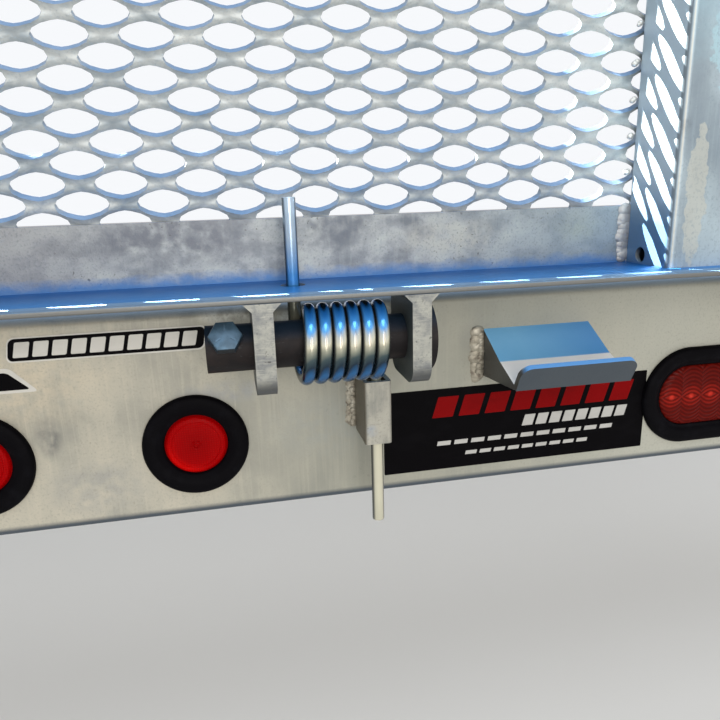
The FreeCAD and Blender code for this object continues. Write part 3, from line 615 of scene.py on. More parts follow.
@dataclass(frozen=True)
class Palette:
    """Every finish of the object."""

    sill: Galvanised = Galvanised(
        "galvanised sill sheet", tone="#aaa79a", pale="#bfb9a8", dark="#949389", cloud=(46.0, 46.0, 58.0),
        # the blue grey is a painted sky reflection on flat faces and the dark blue grey painted shade on
        # faces that look down
        streak=(2.2, 2.2, 80.0), streak_amount=0.5, speck=0.12, bloom="#7ba0c4", under="#3c4854",
        under_amount=0.9, roughness=0.5, metallic=0.3,
        # the second, pale drift towards the right end is painted light that evens out the lamps' shade there
        marks=(Drift("X", 120, 260, "#8f9186", 0.6), Drift("X", 330, 520, "#b9b9ad", 0.75),
               Smudge((10, -25, 112), (90, 30, 46), "#c8bda6", 0.7),
               Smudge((47, -25, 71), (10, 20, 18), "#6a6b69", 0.8),
               Smudge((75, -25, 30), (40, 20, 26), "#8f9190", 0.5),
               Smudge((165, -25, 92), (40, 20, 10), "#8f949a", 0.5),
               Smudge((240, -25, 60), (60, 20, 30), "#949893", 0.5),
               # the three pale patches near the top of the face, under the angle, are painted pools of light
               Smudge((176, -25, 148), (28, 20, 10), "#e6e8df", 0.95),
               Smudge((212, -25, 146), (14, 20, 10), "#dfe4e0", 0.9),
               Smudge((290, -25, 146), (16, 20, 10), "#dfe3dc", 0.8),
               Smudge((352, -25, 118), (16, 20, 14), "#8e8f88", 0.6)),
        # a painted dark reflection along the front of the rounded bottom edge
        faces=(Drift("Z", 8.5, 4.5, "#3c4854", 0.9, facing=(0, -1, 0), near=(0.2, 0.5)),),
    )
    angle: Galvanised = Galvanised(
        # the deep blue is a painted sky reflection on the flat leg and the dark grey painted shade on faces
        # that look down
        "galvanised bottom angle", tone="#8e9294", pale="#abafac", dark="#686d73", bloom="#06508f",
        bloom_amount=0.98, under="#4a4a46", cloud=(24.0, 24.0, 17.0), streak=(3.0, 3.0, 34.0),
        streak_amount=0.25, speck=0.7, roughness=0.4, metallic=0.45, specular=0.12,
        marks=(Drift("X", 120, 20, "#8d8b8b", 0.7), Drift("X", 300, 420, "#8b999f", 0.6),
               Smudge((140, -28, 200), (80, 12, 22), "#666970", 0.9),
               Smudge((250, -28, 204), (40, 12, 16), "#5e636b", 0.8),
               Smudge((330, -28, 192), (50, 12, 16), "#aaaaa2", 0.7),
               Smudge((430, -28, 196), (22, 12, 14), "#9aa39b", 0.6)),
        # painted reflection of the flat leg's blue on the foot of the upright leg's front
        faces=(Drift("Z", 178, 170, "#4072a8", 0.85, facing=(0, -1, 0), ragged=3.0),
               # painted sky reflection on the flat leg, deeper towards its front
               Drift("Y", -44, -80, "#2d7cc0", 0.9, facing=(0, 0, 1)),
               # the two paler strips along the flat leg are painted light
               Drift("Y", -85, -88, "#7f9cb4", 0.7, facing=(0, 0, 1)),
               Drift("Y", -93, -98, "#68849e", 0.8, facing=(0, 0, 1)),
               # painted shade on the rounded front arris
               Drift("Y", -99.5, -101, "#77746a", 0.9, facing=(0, -1, 0), near=(0.3, 0.8))),
    )
    upright: Galvanised = Galvanised(
        # the blue is a painted sky reflection on flat faces and the dark grey painted shade on faces that
        # look down
        "galvanised square tube", tone="#98a5ac", pale="#b2c2c8", dark="#828f98", bloom="#6f9cc6",
        under="#4f5660", cloud=(45.0, 45.0, 90.0), streak=(2.2, 2.2, 120.0), streak_amount=0.25, speck=0.15,
        roughness=0.4, metallic=0.4,
        marks=(Smudge((471, -74, 262), (9, 12, 8), "#59616a", 0.95),
               Smudge((487, -76, 214), (10, 30, 58), "#b9bbb2", 0.75, crisp=True),
               Smudge((505, -76, 330), (22, 30, 60), "#a9ccd4", 0.6, crisp=True),
               Smudge((470, -50, 190), (10, 30, 40), "#a39a86", 0.5)),
        faces=(Drift("Z", 290, 350, "#9fbfcb", 0.55, facing=(0, -1, 0), ragged=12.0),
               # painted pale light on the faces that look left
               Drift("Z", 60, 61, "#b9ccd7", 0.85, facing=(-1, 0, 0)),
               # painted shade, dark blue, on the lower part of the faces that look left
               Drift("Z", 232, 196, "#4b7ba6", 0.85, facing=(-1, 0, 0), ragged=3.0),
               # painted shade along the rounded front left corner
               Drift("Z", 60, 61, "#5d6870", 0.85, facing=(-0.8, -0.6, 0), near=(0.94, 0.99)),
               # a painted highlight line on the rounded front left corner
               Drift("Z", 60, 61, "#b9b4a4", 0.5, facing=(-0.4, -0.917, 0), near=(0.988, 0.999))),
    )
    lug: Galvanised = Galvanised(
        # the blue is a painted sky reflection on flat faces and the dark grey painted shade on faces that
        # look down
        "galvanised flame cut lug", tone="#8b8c87", pale="#a5a59b", dark="#65696d", bloom="#5f8fc0",
        under="#4c4f50", cloud=(12.0, 12.0, 9.0), streak=(9.0, 9.0, 0.9), streak_amount=0.7, speck=0.8,
        # the dark drift at the bottom is painted shade on the rounded lower end
        roughness=0.42, metallic=0.45, marks=(Drift("Z", 122, 114, "#4a4b4b", 0.85),),
        # painted shade on the faces that look left
        faces=(Drift("Z", 60, 61, "#3c4648", 0.85, facing=(-1, 0, 0)),),
    )
    bracket: Galvanised = Galvanised(
        # the pale blue is a painted sky reflection on flat faces and the dark grey painted shade on faces
        # that look down
        "galvanised folded plate", tone="#8a9698", pale="#a5aca8", dark="#6a7479", bloom="#7ccaff",
        bloom_amount=1.0, under="#4a585c", cloud=(30.0, 30.0, 30.0), streak=(3.0, 30.0, 30.0), speck=0.4,
        roughness=0.3, metallic=0.0,
        # painted sky reflection, deeper blue towards the right
        faces=(Drift("X", 380, 440, "#4592e0", 0.75, facing=(0, 0, 1)),
               # the white band on the upward faces in front of the fold is painted light
               Drift("Y", -56.4, -57.4, "#fbfdfd", 1.0, facing=(0, 0, 1)),
               # painted sky reflection on the lip's top
               Drift("Y", -88.6, -89.4, "#4a8fd0", 0.95, facing=(0, 0, 1), near=(0.3, 0.6)),
               # painted shade on the lip's front and on the faces that look left
               Drift("Z", 60, 61, "#2c3640", 0.95, facing=(0, -1, 0), near=(0.55, 0.8)),
               Drift("Z", 60, 61, "#40403e", 0.95, facing=(-1, 0, 0))),
    )
    anchor: Galvanised = Galvanised(
        # the blue grey is a painted sky reflection on flat faces and the brown painted shade on faces that
        # look down
        "galvanised anchor tube", tone="#9c9a90", pale="#b3b0a4", dark="#80827c", bloom="#7b9cba",
        under="#6b6254", cloud=(16.0, 16.0, 30.0), streak=(1.5, 1.5, 30.0), speck=0.6, roughness=0.45,
        metallic=0.4, marks=(Smudge((263, -62, 66), (5, 9, 5), "#8d98a6", 0.9),),
        # painted shade on the faces that look left
        faces=(Drift("Z", 20, 21, "#686153", 0.9, facing=(-1, 0, 0)),),
    )
    mesh: Galvanised = Galvanised(
        # the blue is a painted sky reflection on the strands' upward edges and the grey painted shade on
        # faces that look down
        "galvanised expanded mesh", tone="#a9afaf", pale="#c4c7c4", dark="#88939a", bloom="#3f7ab2",
        bloom_amount=0.97, under="#8f9390", under_amount=0.3, cloud=(25.0, 25.0, 12.0),
        streak=(12.0, 12.0, 5.0), speck=0.1, roughness=0.4, metallic=0.3,
    )
    # takes the galvanised default painted sky reflection and painted shade
    rail: Galvanised = Galvanised("galvanised rail tube", tone="#939a9d", pale="#b2b8b8", dark="#7b8388",
                                  cloud=(70.0, 40.0, 40.0), streak=(60.0, 4.0, 4.0))
    weld: WeldZinc = WeldZinc("galvanised weld bead")
    fillet: WeldZinc = WeldZinc("galvanised flat fillet", tone="#a2a2a0", burnt="#7f7a74", pale="#b9b9b5")
    tack: WeldZinc = WeldZinc("galvanised tack", tone="#dcdcd6", burnt="#b4b3aa", pale="#ecebe4")
    spring: BrightZinc = BrightZinc("bright zinc spring wire")
    fastener: Plated = Plated("zinc plated fastener")
    bar: MillScale = MillScale("mill scale bar")
    rubber: MouldedRubber = MouldedRubber("moulded grommet rubber")
    tail_lens: FlutedLens = FlutedLens("fluted red acrylic lens")
    sign: Vinyl = Vinyl("black vinyl film")
    band: Vinyl = Vinyl("dark red vinyl film", tone="#7c0709", dust="#5c0a0b")
    silver: Vinyl = Vinyl("silver vinyl film", tone="#b9b8b4", dust="#8f8f8c")
    paper: Vinyl = Vinyl("white vinyl film", tone="#cfcdc6", dust="#a9a79f")
    floor: Finish = Finish("pale studio floor")


PALETTE = Palette()


def placed(name: str, data: bpy.types.ID) -> bpy.types.Object:
    """Put a mesh, a lamp or a camera into the scene."""
    thing = bpy.data.objects.new(name, data)
    bpy.context.scene.collection.objects.link(thing)
    return thing


def mesh_of(shape: Shape, name: str) -> bpy.types.Mesh:
    """Turn a shape into a mesh.

    Args:
        shape: The shape, which is freed.
        name: The mesh's name.

    Returns:
        The mesh.
    """
    mesh = bpy.data.meshes.new(name)
    shape.to_mesh(mesh)
    shape.free()
    return mesh


def publish(shape: Shape, name: str, finish: Finish, body: Body | None = None,
            replaced: str | None = None, crease: float = 35.0) -> bpy.types.Object:
    """Turn a finished shape into a named piece.

    Args:
        shape: The shape, which is freed.
        name: The piece's name.
        finish: What its surface is.
        body: The body it rides on, or nothing, which leaves it on no body.
        replaced: The CAD node that it stands for, if there is one.
        crease: Edges sharper than this many degrees stay sharp.

    Returns:
        The new object.
    """
    bmesh.ops.recalc_face_normals(shape, faces=shape.faces)
    mesh = mesh_of(shape, name)
    mesh.shade_smooth()
    mesh.set_sharp_from_angle(angle=math.radians(crease))
    mesh.materials.append(finish.build())
    piece = placed(name, mesh)
    if body is not None:
        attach(piece, body.value)
    if replaced is not None:
        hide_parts(replaced)
    LOG.info("%s: %d faces", name, len(mesh.polygons))
    return piece


def rounded(shape: Shape, edges: list[bmesh.types.BMEdge], offset: float) -> None:
    """Round edges a little, with two facets."""
    bmesh.ops.bevel(shape, geom=edges, offset=offset, segments=2, profile=0.5, affect="EDGES", material=-1)


def only(items: Iterable, kind: type) -> list:
    """Those of an operator's results that are vertices, or edges."""
    return [item for item in items if isinstance(item, kind)]


def scatter(index: int, number: int) -> float:
    """A number between zero and one that looks random but is the same each time."""
    value = math.sin(index * SCATTER[0] + number * SCATTER[1]) * SCATTER[2]
    return value - math.floor(value)


@dataclass(frozen=True)
class Places:
    """Where the frame's pieces lie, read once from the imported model."""

    face: float
    pin: tuple[float, float]
    leg_top: float

    @classmethod
    def read(cls, frame: dict) -> "Places":
        """Read the sill's face, the pin and the top of the angle's flat leg, where the uprights stand.

        Args:
            frame: The loaded frame.

        Returns:
            The places.
        """
        _, pin_y, pin_z = frame["joints"][0]["pos_m"]
        sill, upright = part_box("rear_sill")[0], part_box("upright_inner_right")[0]
        return cls(face=sill.y, pin=(pin_y, pin_z), leg_top=upright.z)


@dataclass
class ExpandedMesh:
    """Three quarter inch expanded mesh at its real pitch, as it comes off the press.

    The strands stand twisted: each front face looks a little down, and above it a narrow edge looks up.
    The pitch and the rows' place are worked out from the photograph's view of the middle panel.
    """

    pitch: tuple[float, float] = (49.3 * MM, 24.55 * MM)
    opening: tuple[float, float] = (16.6 * MM, 8.7 * MM)
    origin: tuple[float, float] = (112.9 * MM, 332.4 * MM)
    back: tuple[float, float] = (3.2 * MM, 2.6 * MM)
    lean: float = 0.16
    corners: int = 16
    pointed: Corner = (1.5, 0.88)  # powers that draw a circle out to an opening's pointed ends
    diamond: Corner = (2.0, 2.0)  # powers that flatten a circle's sides to a diamond

    def cell(self, shape: Shape, x: float, z: float) -> None:
        """One opening: its rim on both sides of the sheet, out to the middle of the strands round it.

        Args:
            shape: The shape that takes it.
            x: Its middle across the panel.
            z: Its middle's height.
        """
        rims, borders = [], []
        half = (self.pitch[0] / 2, self.pitch[1] / 2)
        for depth, rise in ((0.0, 0.0), self.back):
            for group, reach, power, lean in ((rims, self.opening, self.pointed, self.lean),
                                              (borders, half, self.diamond, 0.0)):
                made = bmesh.ops.create_circle(shape, segments=self.corners, radius=1.0)["verts"]
                for vert in made:
                    across, up = (size * math.copysign(abs(part) ** sharpness, part)
                                  for size, part, sharpness in zip(reach, vert.co.xy, power))
                    vert.co = (x + across, depth + lean * up, z + up + rise)
                group.append(list({edge for vert in made for edge in vert.link_edges}))
        for rim, border in zip(rims, borders):
            bmesh.ops.bridge_loops(shape, edges=rim + border)
        bmesh.ops.bridge_loops(shape, edges=rims[0] + rims[1])

    def sheet(self, name: str, low: Vector, high: Vector) -> Shape:
        """Repeat the cell until it covers a panel.

        Args:
            name: The panel.
            low: Its lowest corner.
            high: Its highest corner.

        Returns:
            The sheet, which is larger than the panel.
        """
        shape = bmesh.new()
        first = [start - math.ceil((start - edge) / pitch + 1) * pitch
                 for start, edge, pitch in zip(self.origin, (low.x, low.z), self.pitch)]
        self.cell(shape, *first)
        self.cell(shape, first[0] + self.pitch[0] / 2, first[1] + self.pitch[1] / 2)
        cell = placed(name + "_cell", mesh_of(shape, name + "_cell"))
        steps = ((self.pitch[0], 0, 0), (0, 0, self.pitch[1]))
        for start, end, pitch, step in zip(first, (high.x, high.z), self.pitch, steps):
            rows = cell.modifiers.new("rows", "ARRAY")
            rows.count = int((end - start) / pitch) + 2
            rows.use_relative_offset = False
            rows.use_constant_offset = True
            rows.constant_offset_displace = step
        whole = bpy.data.meshes.new_from_object(cell.evaluated_get(bpy.context.evaluated_depsgraph_get()))
        bpy.data.objects.remove(cell)
        shape = bmesh.new()
        shape.from_mesh(whole)
        bpy.data.meshes.remove(whole)
        return shape

    def panel(self, name: str) -> None:
        """Fill one CAD panel's outline with the mesh.

        Args:
            name: The CAD node.
        """
        low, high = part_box(name)
        shape = self.sheet(name, low, high)
        bmesh.ops.remove_doubles(shape, verts=shape.verts, dist=0.05 * MM)
        for corner, out in (((low.x, 0, 0), (-1, 0, 0)), ((high.x, 0, 0), (1, 0, 0)),
                            ((0, 0, low.z), (0, 0, -1)), ((0, 0, high.z), (0, 0, 1))):
            bmesh.ops.bisect_plane(shape, geom=list(shape.verts) + list(shape.edges) + list(shape.faces),
                                   plane_co=corner, plane_no=out, clear_outer=True, dist=0.01 * MM)
        bmesh.ops.holes_fill(shape, edges=[edge for edge in shape.edges if edge.is_boundary], sides=0)
        bmesh.ops.translate(shape, verts=shape.verts, vec=(0, low.y + self.lean * self.opening[1], 0))
        publish(shape, name.replace("panel", "expanded"), PALETTE.mesh, Body.GATE, name, crease=50)

    def build(self) -> None:
        """Make the three panels."""
        for name in ("mesh_panel_left", "mesh_panel_middle", "mesh_panel_right"):
            self.panel(name)


@dataclass
class TorsionSpring:
    """The coil and its two arms, wound closer to the real wire than the CAD solid."""

    places: Places
    wire: float = 4.3 * MM
    drop: float = 1.2 * MM
    end: float = 0.7 * MM
    turns: int = 6
    steps: int = 48
    wire_sides: int = 20
    arm_pieces: int = 8

    def build(self, side: Side) -> None:
        """Make the spring on one side.

        Args:
            side: Which half of the part it is on.
        """
        low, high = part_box(f"coil_spring_{side.word}")
        pin_y, pin_z = self.places.pin[0], self.places.pin[1] - self.drop
        wire = self.wire
        coil = pin_y - low.y - wire
        start = (low.x + wire) if side is Side.RIGHT else (high.x - wire)
        advance = (high.x - low.x - 2 * wire) * side.value
        shape = bmesh.new()
        turned = Matrix.Translation((start, pin_y + coil, pin_z))
        bmesh.ops.create_circle(shape, segments=self.wire_sides, radius=wire, matrix=turned)
        section = list(shape.edges)
        self.arm(shape, section, high.z - pin_z)
        count = self.turns * self.steps
        made = bmesh.ops.spin(shape, geom=list({vert for edge in section for vert in edge.verts}) + section,
                              cent=(start, pin_y, pin_z), axis=(1, 0, 0), dvec=(advance / count, 0, 0),
                              angle=-math.tau * self.turns, steps=count, use_merge=False, use_duplicate=False)
        self.arm(shape, only(made["geom_last"], bmesh.types.BMEdge), low.z - pin_z)
        bmesh.ops.remove_doubles(shape, verts=shape.verts, dist=0.01 * MM)
        open_edges = [edge for edge in shape.edges if edge.is_boundary]
        ends = bmesh.ops.holes_fill(shape, edges=open_edges, sides=0)["faces"]
        bmesh.ops.recalc_face_normals(shape, faces=shape.faces)
        rounded(shape, list({edge for face in ends for edge in face.edges}), self.end)
        piece = publish(shape, f"torsion_spring_{side.word}", PALETTE.spring, None,
                        f"coil_spring_{side.word}", crease=50)
        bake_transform(piece)

    def arm(self, shape: Shape, rim: list[bmesh.types.BMEdge], rise: float) -> None:
        """Draw a straight arm out of a rim.

        Args:
            shape: The spring.
            rim: The edges of the wire's open end.
            rise: How far up the arm reaches, or down where it is negative.
        """
        for _ in range(self.arm_pieces):
            made = bmesh.ops.extrude_edge_only(shape, edges=rim)["geom"]
            verts = only(made, bmesh.types.BMVert)
            bmesh.ops.translate(shape, verts=verts, vec=(0, 0, rise / self.arm_pieces))
            rim = [edge for edge in only(made, bmesh.types.BMEdge)
                   if all(vert in verts for vert in edge.verts)]


@dataclass
class RoundLamp:
    """A two inch identification lamp in its rubber grommet. Outlines are radii and depths in millimetres."""

    places: Places
    form: str = "round"
    cad: str = "marker"
    steps: int = 72
    grommet: tuple[Corner, ...] = (
        (36.8, -0.2), (36.8, -2.0), (36.1, -3.4), (34.6, -4.5), (32.0, -5.0), (28.6, -4.9), (26.6, -4.3),
        (25.0, -3.0), (23.2, -2.2), (22.2, -1.0), (21.7, 1.2), (21.6, 2.0), (25.4, 2.0), (25.4, 8.1),
        (34.5, 8.1), (34.5, 5.1), (31.6, 5.1), (31.6, -0.2),
    )
    lamp: tuple[Corner, ...] = (
        (0.0, -1.9), (1.6, -1.9), (2.1, -2.6), (3.0, -2.7), (3.6, -2.2), (10.0, -2.1), (16.5, -1.7),
        (17.2, -2.3), (19.4, -2.1), (20.6, -1.2), (21.4, 0.4), (25.1, 2.4), (25.1, 18.9), (20.2, 24.0),
        (0.0, 24.0),
    )

    def reach(self, low: Vector, high: Vector) -> float:
        """How far each half of the lamp lies from its middle: a round one's halves touch."""
        return 0.0

    def lens(self, word: str, centre: Point) -> Finish:
        """The lens of one lamp."""
        return RibbedLens(f"ribbed red acrylic lens {word}", centre=tuple(value / MM for value in centre))

    def spun(self, corners: Iterable[Corner], centre: Point, reach: float, closed: bool) -> Shape:
        """Spin an outline round the lamp's axis and pull its two halves apart.

        Args:
            corners: The outline.
            centre: The middle of the lamp.
            reach: How far each half moves from the middle.
            closed: Whether the outline's last corner joins its first.

        Returns:
            The shape.
        """
        shape = bmesh.new()
        line = [shape.verts.new((centre[0] + radius * MM, centre[1] + depth * MM, centre[2]))
                for radius, depth in corners]
        pairs = list(zip(line, line[1:])) + ([(line[-1], line[0])] if closed else [])
        edges = [shape.edges.new(pair) for pair in pairs]
        bmesh.ops.spin(shape, geom=line + edges, cent=centre, axis=(0, 1, 0), angle=math.tau,
                       steps=self.steps, use_merge=True, use_duplicate=False)
        bmesh.ops.remove_doubles(shape, verts=shape.verts, dist=0.02 * MM)
        for sign in (-1, 1):
            moved = [vert for vert in shape.verts if (vert.co.x - centre[0]) * sign > 0.05 * MM]
            bmesh.ops.translate(shape, verts=moved, vec=(sign * reach, 0, 0))
        return shape

    def build(self, word: str) -> None:
        """Make the lamp and grommet of one place.

        Args:
            word: The word that ends the two CAD nodes' names.
        """
        low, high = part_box(f"{self.cad}_grommet_{word}")
        centre = ((low.x + high.x) / 2, self.places.face, (low.z + high.z) / 2)
        reach = self.reach(low, high)
        for part, outline, closed, finish, slot in (
                ("grommet", self.grommet, True, PALETTE.rubber, Slot.RUBBER),
                ("lamp", self.lamp, False, self.lens(word, centre), Slot.LENS)):
            publish(self.spun(outline, centre, reach, closed), f"{self.form}_{part}_{word}", finish,
                    Body.SILL, f"{self.cad}_{part}_{word}")


@dataclass
class OvalLamp(RoundLamp):
    """A six inch oval tail lamp in its rubber grommet, its outlines as the round lamp's."""

    form: str = "oval"
    cad: str = "tail"
    steps: int = 96
    grommet: tuple[Corner, ...] = (
        (40.8, -0.2), (40.8, -2.0), (40.0, -3.6), (38.4, -4.7), (36.0, -5.0), (32.0, -4.9), (30.0, -4.0),
        (28.6, -2.4), (27.6, -1.6), (26.0, -1.4), (25.4, -0.6), (25.4, 0.4), (29.4, 0.4), (29.4, 8.1),
        (38.3, 8.1), (38.3, 5.1), (35.5, 5.1), (35.5, -0.2),
    )
    lamp: tuple[Corner, ...] = (
        (0.0, -4.0), (12.0, -3.9), (20.0, -3.4), (23.4, -2.6), (25.0, -1.0), (25.2, 1.0), (29.1, 1.2),
        (29.1, 28.0), (0.0, 28.0),
    )

    def reach(self, low: Vector, high: Vector) -> float:
        """How far each half of the lamp lies from its middle: half of what it is wider than tall."""
        return ((high.x - low.x) - (high.z - low.z)) / 2

    def lens(self, word: str, centre: Point) -> Finish:
        """The lens, which both tail lamps share."""
        return PALETTE.tail_lens


@dataclass
class CrossBolt:
    """The hexagon bolt through the inner end of a spring pin, with its nut."""

    places: Places
    flats: float = 8.8 * MM
    head: float = 6.4 * MM
    shank: float = 5.0 * MM
    nut: float = 4.5 * MM
    arbor: float = 14.6 * MM
    seat: float = 0.3 * MM
    chamfer: float = 0.9 * MM
    past_nut: float = 2.0 * MM
    mark: Point = (3.6 * MM, 0.9 * MM, 0.7 * MM)
    marks: int = 3
    mark_out: float = 0.55  # share of the head's half width
    mark_turn: float = 0.5
    tilt: float = 34.0

    def build(self, side: Side) -> None:
        """Make one bolt, square to the pin and tilted up.

        Args:
            side: Which half of the part it is on.
        """
        low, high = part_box(f"cross_bolt_{side.word}")
        turn = Matrix.Rotation(math.radians(90 - self.tilt), 4, "X")
        frame = Matrix.Translation(((low.x + high.x) / 2, *self.places.pin)) @ turn
        inverse = frame.inverted()
        shape = bmesh.new()
        corner = self.flats / math.cos(math.radians(30))
        for place, thick, outward in ((self.arbor + self.head / 2 + self.seat, self.head, 1),
                                      (-self.arbor - self.nut / 2, self.nut, -1)):
            seat = frame @ Matrix.Translation((0, 0, place)) @ Matrix.Rotation(math.radians(30), 4, "Z")
            made = bmesh.ops.create_cone(shape, cap_ends=True, segments=6, radius1=corner, radius2=corner,
                                         depth=thick, matrix=seat)["verts"]
            end = [vert for vert in made if ((inverse @ vert.co).z - place) * outward > 0]
            cap = next(face for face in end[0].link_faces if all(vert in end for vert in face.verts))
            rounded(shape, list(cap.edges), self.chamfer)
        length = 2 * self.arbor + self.nut + self.past_nut
        middle = frame @ Matrix.Translation((0, 0, self.arbor - length / 2))
        bmesh.ops.create_cone(shape, cap_ends=True, segments=24, radius1=self.shank, radius2=self.shank,
                              depth=length, matrix=middle)
        top = Matrix.Translation((self.flats * self.mark_out, 0, self.arbor + self.head + self.seat))
        mark = top @ Matrix.Diagonal((*self.mark, 1))
        for step in range(self.marks):
            around = Matrix.Rotation(math.tau * step / self.marks - self.mark_turn, 4, "Z")
            bmesh.ops.create_cube(shape, size=1.0, matrix=frame @ around @ mark)
        publish(shape, f"hexagon_bolt_{side.word}", PALETTE.fastener, Body.GATE,
                f"cross_bolt_{side.word}", crease=25)


@dataclass
class WeldRun:
    """A straight weld bead between two points, in metres. A flat of one is as thick as it is wide."""

    start: Point
    end: Point
    radius: float
    flat: float = 0.5


@dataclass
class WeldShop:
    """Weld beads, each a row of overlapping coins, on the sill and on the gate."""

    places: Places
    step: float = 2.0 * MM
    sill_flat: float = 0.35
    gate_out: float = 3.4 * MM
    gate_radius: float = 5.0 * MM
    gate_flat: float = 0.22
    tack_radius: float = 2.3 * MM
    tack_flat: float = 0.8
    beads: dict[Body, list[WeldRun]] = field(default_factory=lambda: {Body.SILL: [], Body.GATE: []})
    tacks: list[WeldRun] = field(default_factory=list)

    def sill_beads(self) -> None:
        """Beads that hold the brackets and anchors to the sill, on their sides towards the springs."""
        face, runs = self.places.face, self.beads[Body.SILL]
        for side in Side:
            for piece, out, width, gap in (("stop_bracket", 4.6, 5.0, -2), ("spring_anchor", 3.0, 3.6, 3)):
                low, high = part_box(f"{piece}_{side.word}")
                x = low.x - out * MM if side is Side.RIGHT else high.x + out * MM
                inner = x + side.value * out * 0.55 * MM
                runs += [WeldRun((x, face, low.z + gap * MM), (x, face, high.z - 2 * MM), width * MM,
                                 self.sill_flat),
                         WeldRun((inner, face - 1 * MM, low.z + 4 * MM),
                                 (inner, face - 1 * MM, high.z - 4 * MM), width * 0.7 * MM)]

    def gate_beads(self) -> None:
        """Flat beads where the ends of the angle's upright leg meet the uprights."""
        y, foot = self.places.face - self.gate_out, self.places.leg_top + 3 * MM
        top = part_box("gate_bottom_angle")[1].z - 1 * MM
        for place in ("outer_left", "inner_left", "inner_right", "outer_right"):
            low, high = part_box(f"upright_{place}")
            self.beads[Body.GATE] += [WeldRun((x, y, foot), (x, y, top), self.gate_radius, self.gate_flat)
                                      for x in (low.x - self.gate_out, high.x + self.gate_out)]

    def mesh_tacks(self, mesh: ExpandedMesh) -> None:
        """Zinc covered tacks where the mesh's strands meet the uprights.

        Args:
            mesh: The mesh, for its rows.
        """
        low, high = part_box("mesh_panel_middle")
        pitch = mesh.pitch[1]
        for x, side in ((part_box("upright_inner_left")[1].x, 1), (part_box("upright_inner_right")[0].x, -1)):
            row = mesh.origin[1] - math.floor((mesh.origin[1] - low.z) / pitch) * pitch
            while row < high.z - pitch:
                start, end = (x + side * 2.4 * MM, low.y, row), (x + side * 1.4 * MM, low.y, row + 1 * MM)
                self.tacks.append(WeldRun(start, end, self.tack_radius, self.tack_flat))
                row += pitch

    def piece(self, name: str, body: Body, finish: Finish, runs: list[WeldRun]) -> None:
        """Make one piece of many beads.

        Args:
            name: The piece's name.
            body: The body it rides on.
            finish: What its surface is.
            runs: The beads.
        """
        shape = bmesh.new()
        for number, run in enumerate(runs):
            start, end = Vector(run.start), Vector(run.end)
            count = max(1, int((end - start).length / self.step))
            for index in range(count + 1):
                sway = (scatter(index, number) - 0.5) * 0.5 * run.radius
                spot = start.lerp(end, index / count) + Vector((sway, 0, sway * 0.6))
                size = run.radius * (0.7 + 0.6 * scatter(index + 50, number))
                coin = Matrix.Translation(spot) @ Matrix.Diagonal((size, size * run.flat, size * 0.8, 1))
                bmesh.ops.create_uvsphere(shape, u_segments=8, v_segments=5, radius=1.0, matrix=coin)
        publish(shape, name, finish, body, crease=80)

    def build(self, mesh: ExpandedMesh) -> None:
        """Lay the beads of each body, and the mesh's tacks.

        Args:
            mesh: The mesh, for its rows.
        """
        self.sill_beads()
        self.gate_beads()
        self.mesh_tacks(mesh)
        self.piece("weld_beads_sill", Body.SILL, PALETTE.weld, self.beads[Body.SILL])
        self.piece("weld_beads_gate", Body.GATE, PALETTE.fillet, self.beads[Body.GATE])
        self.piece("weld_tacks_gate", Body.GATE, PALETTE.tack, self.tacks)


@dataclass(frozen=True)
class Film:
    """One or more like blocks of vinyl side by side. Sizes and places are in millimetres."""

    left: float
    right: float
    low: float
    high: float
    layer: int
    corner: float
    slant: float
    count: int = 1


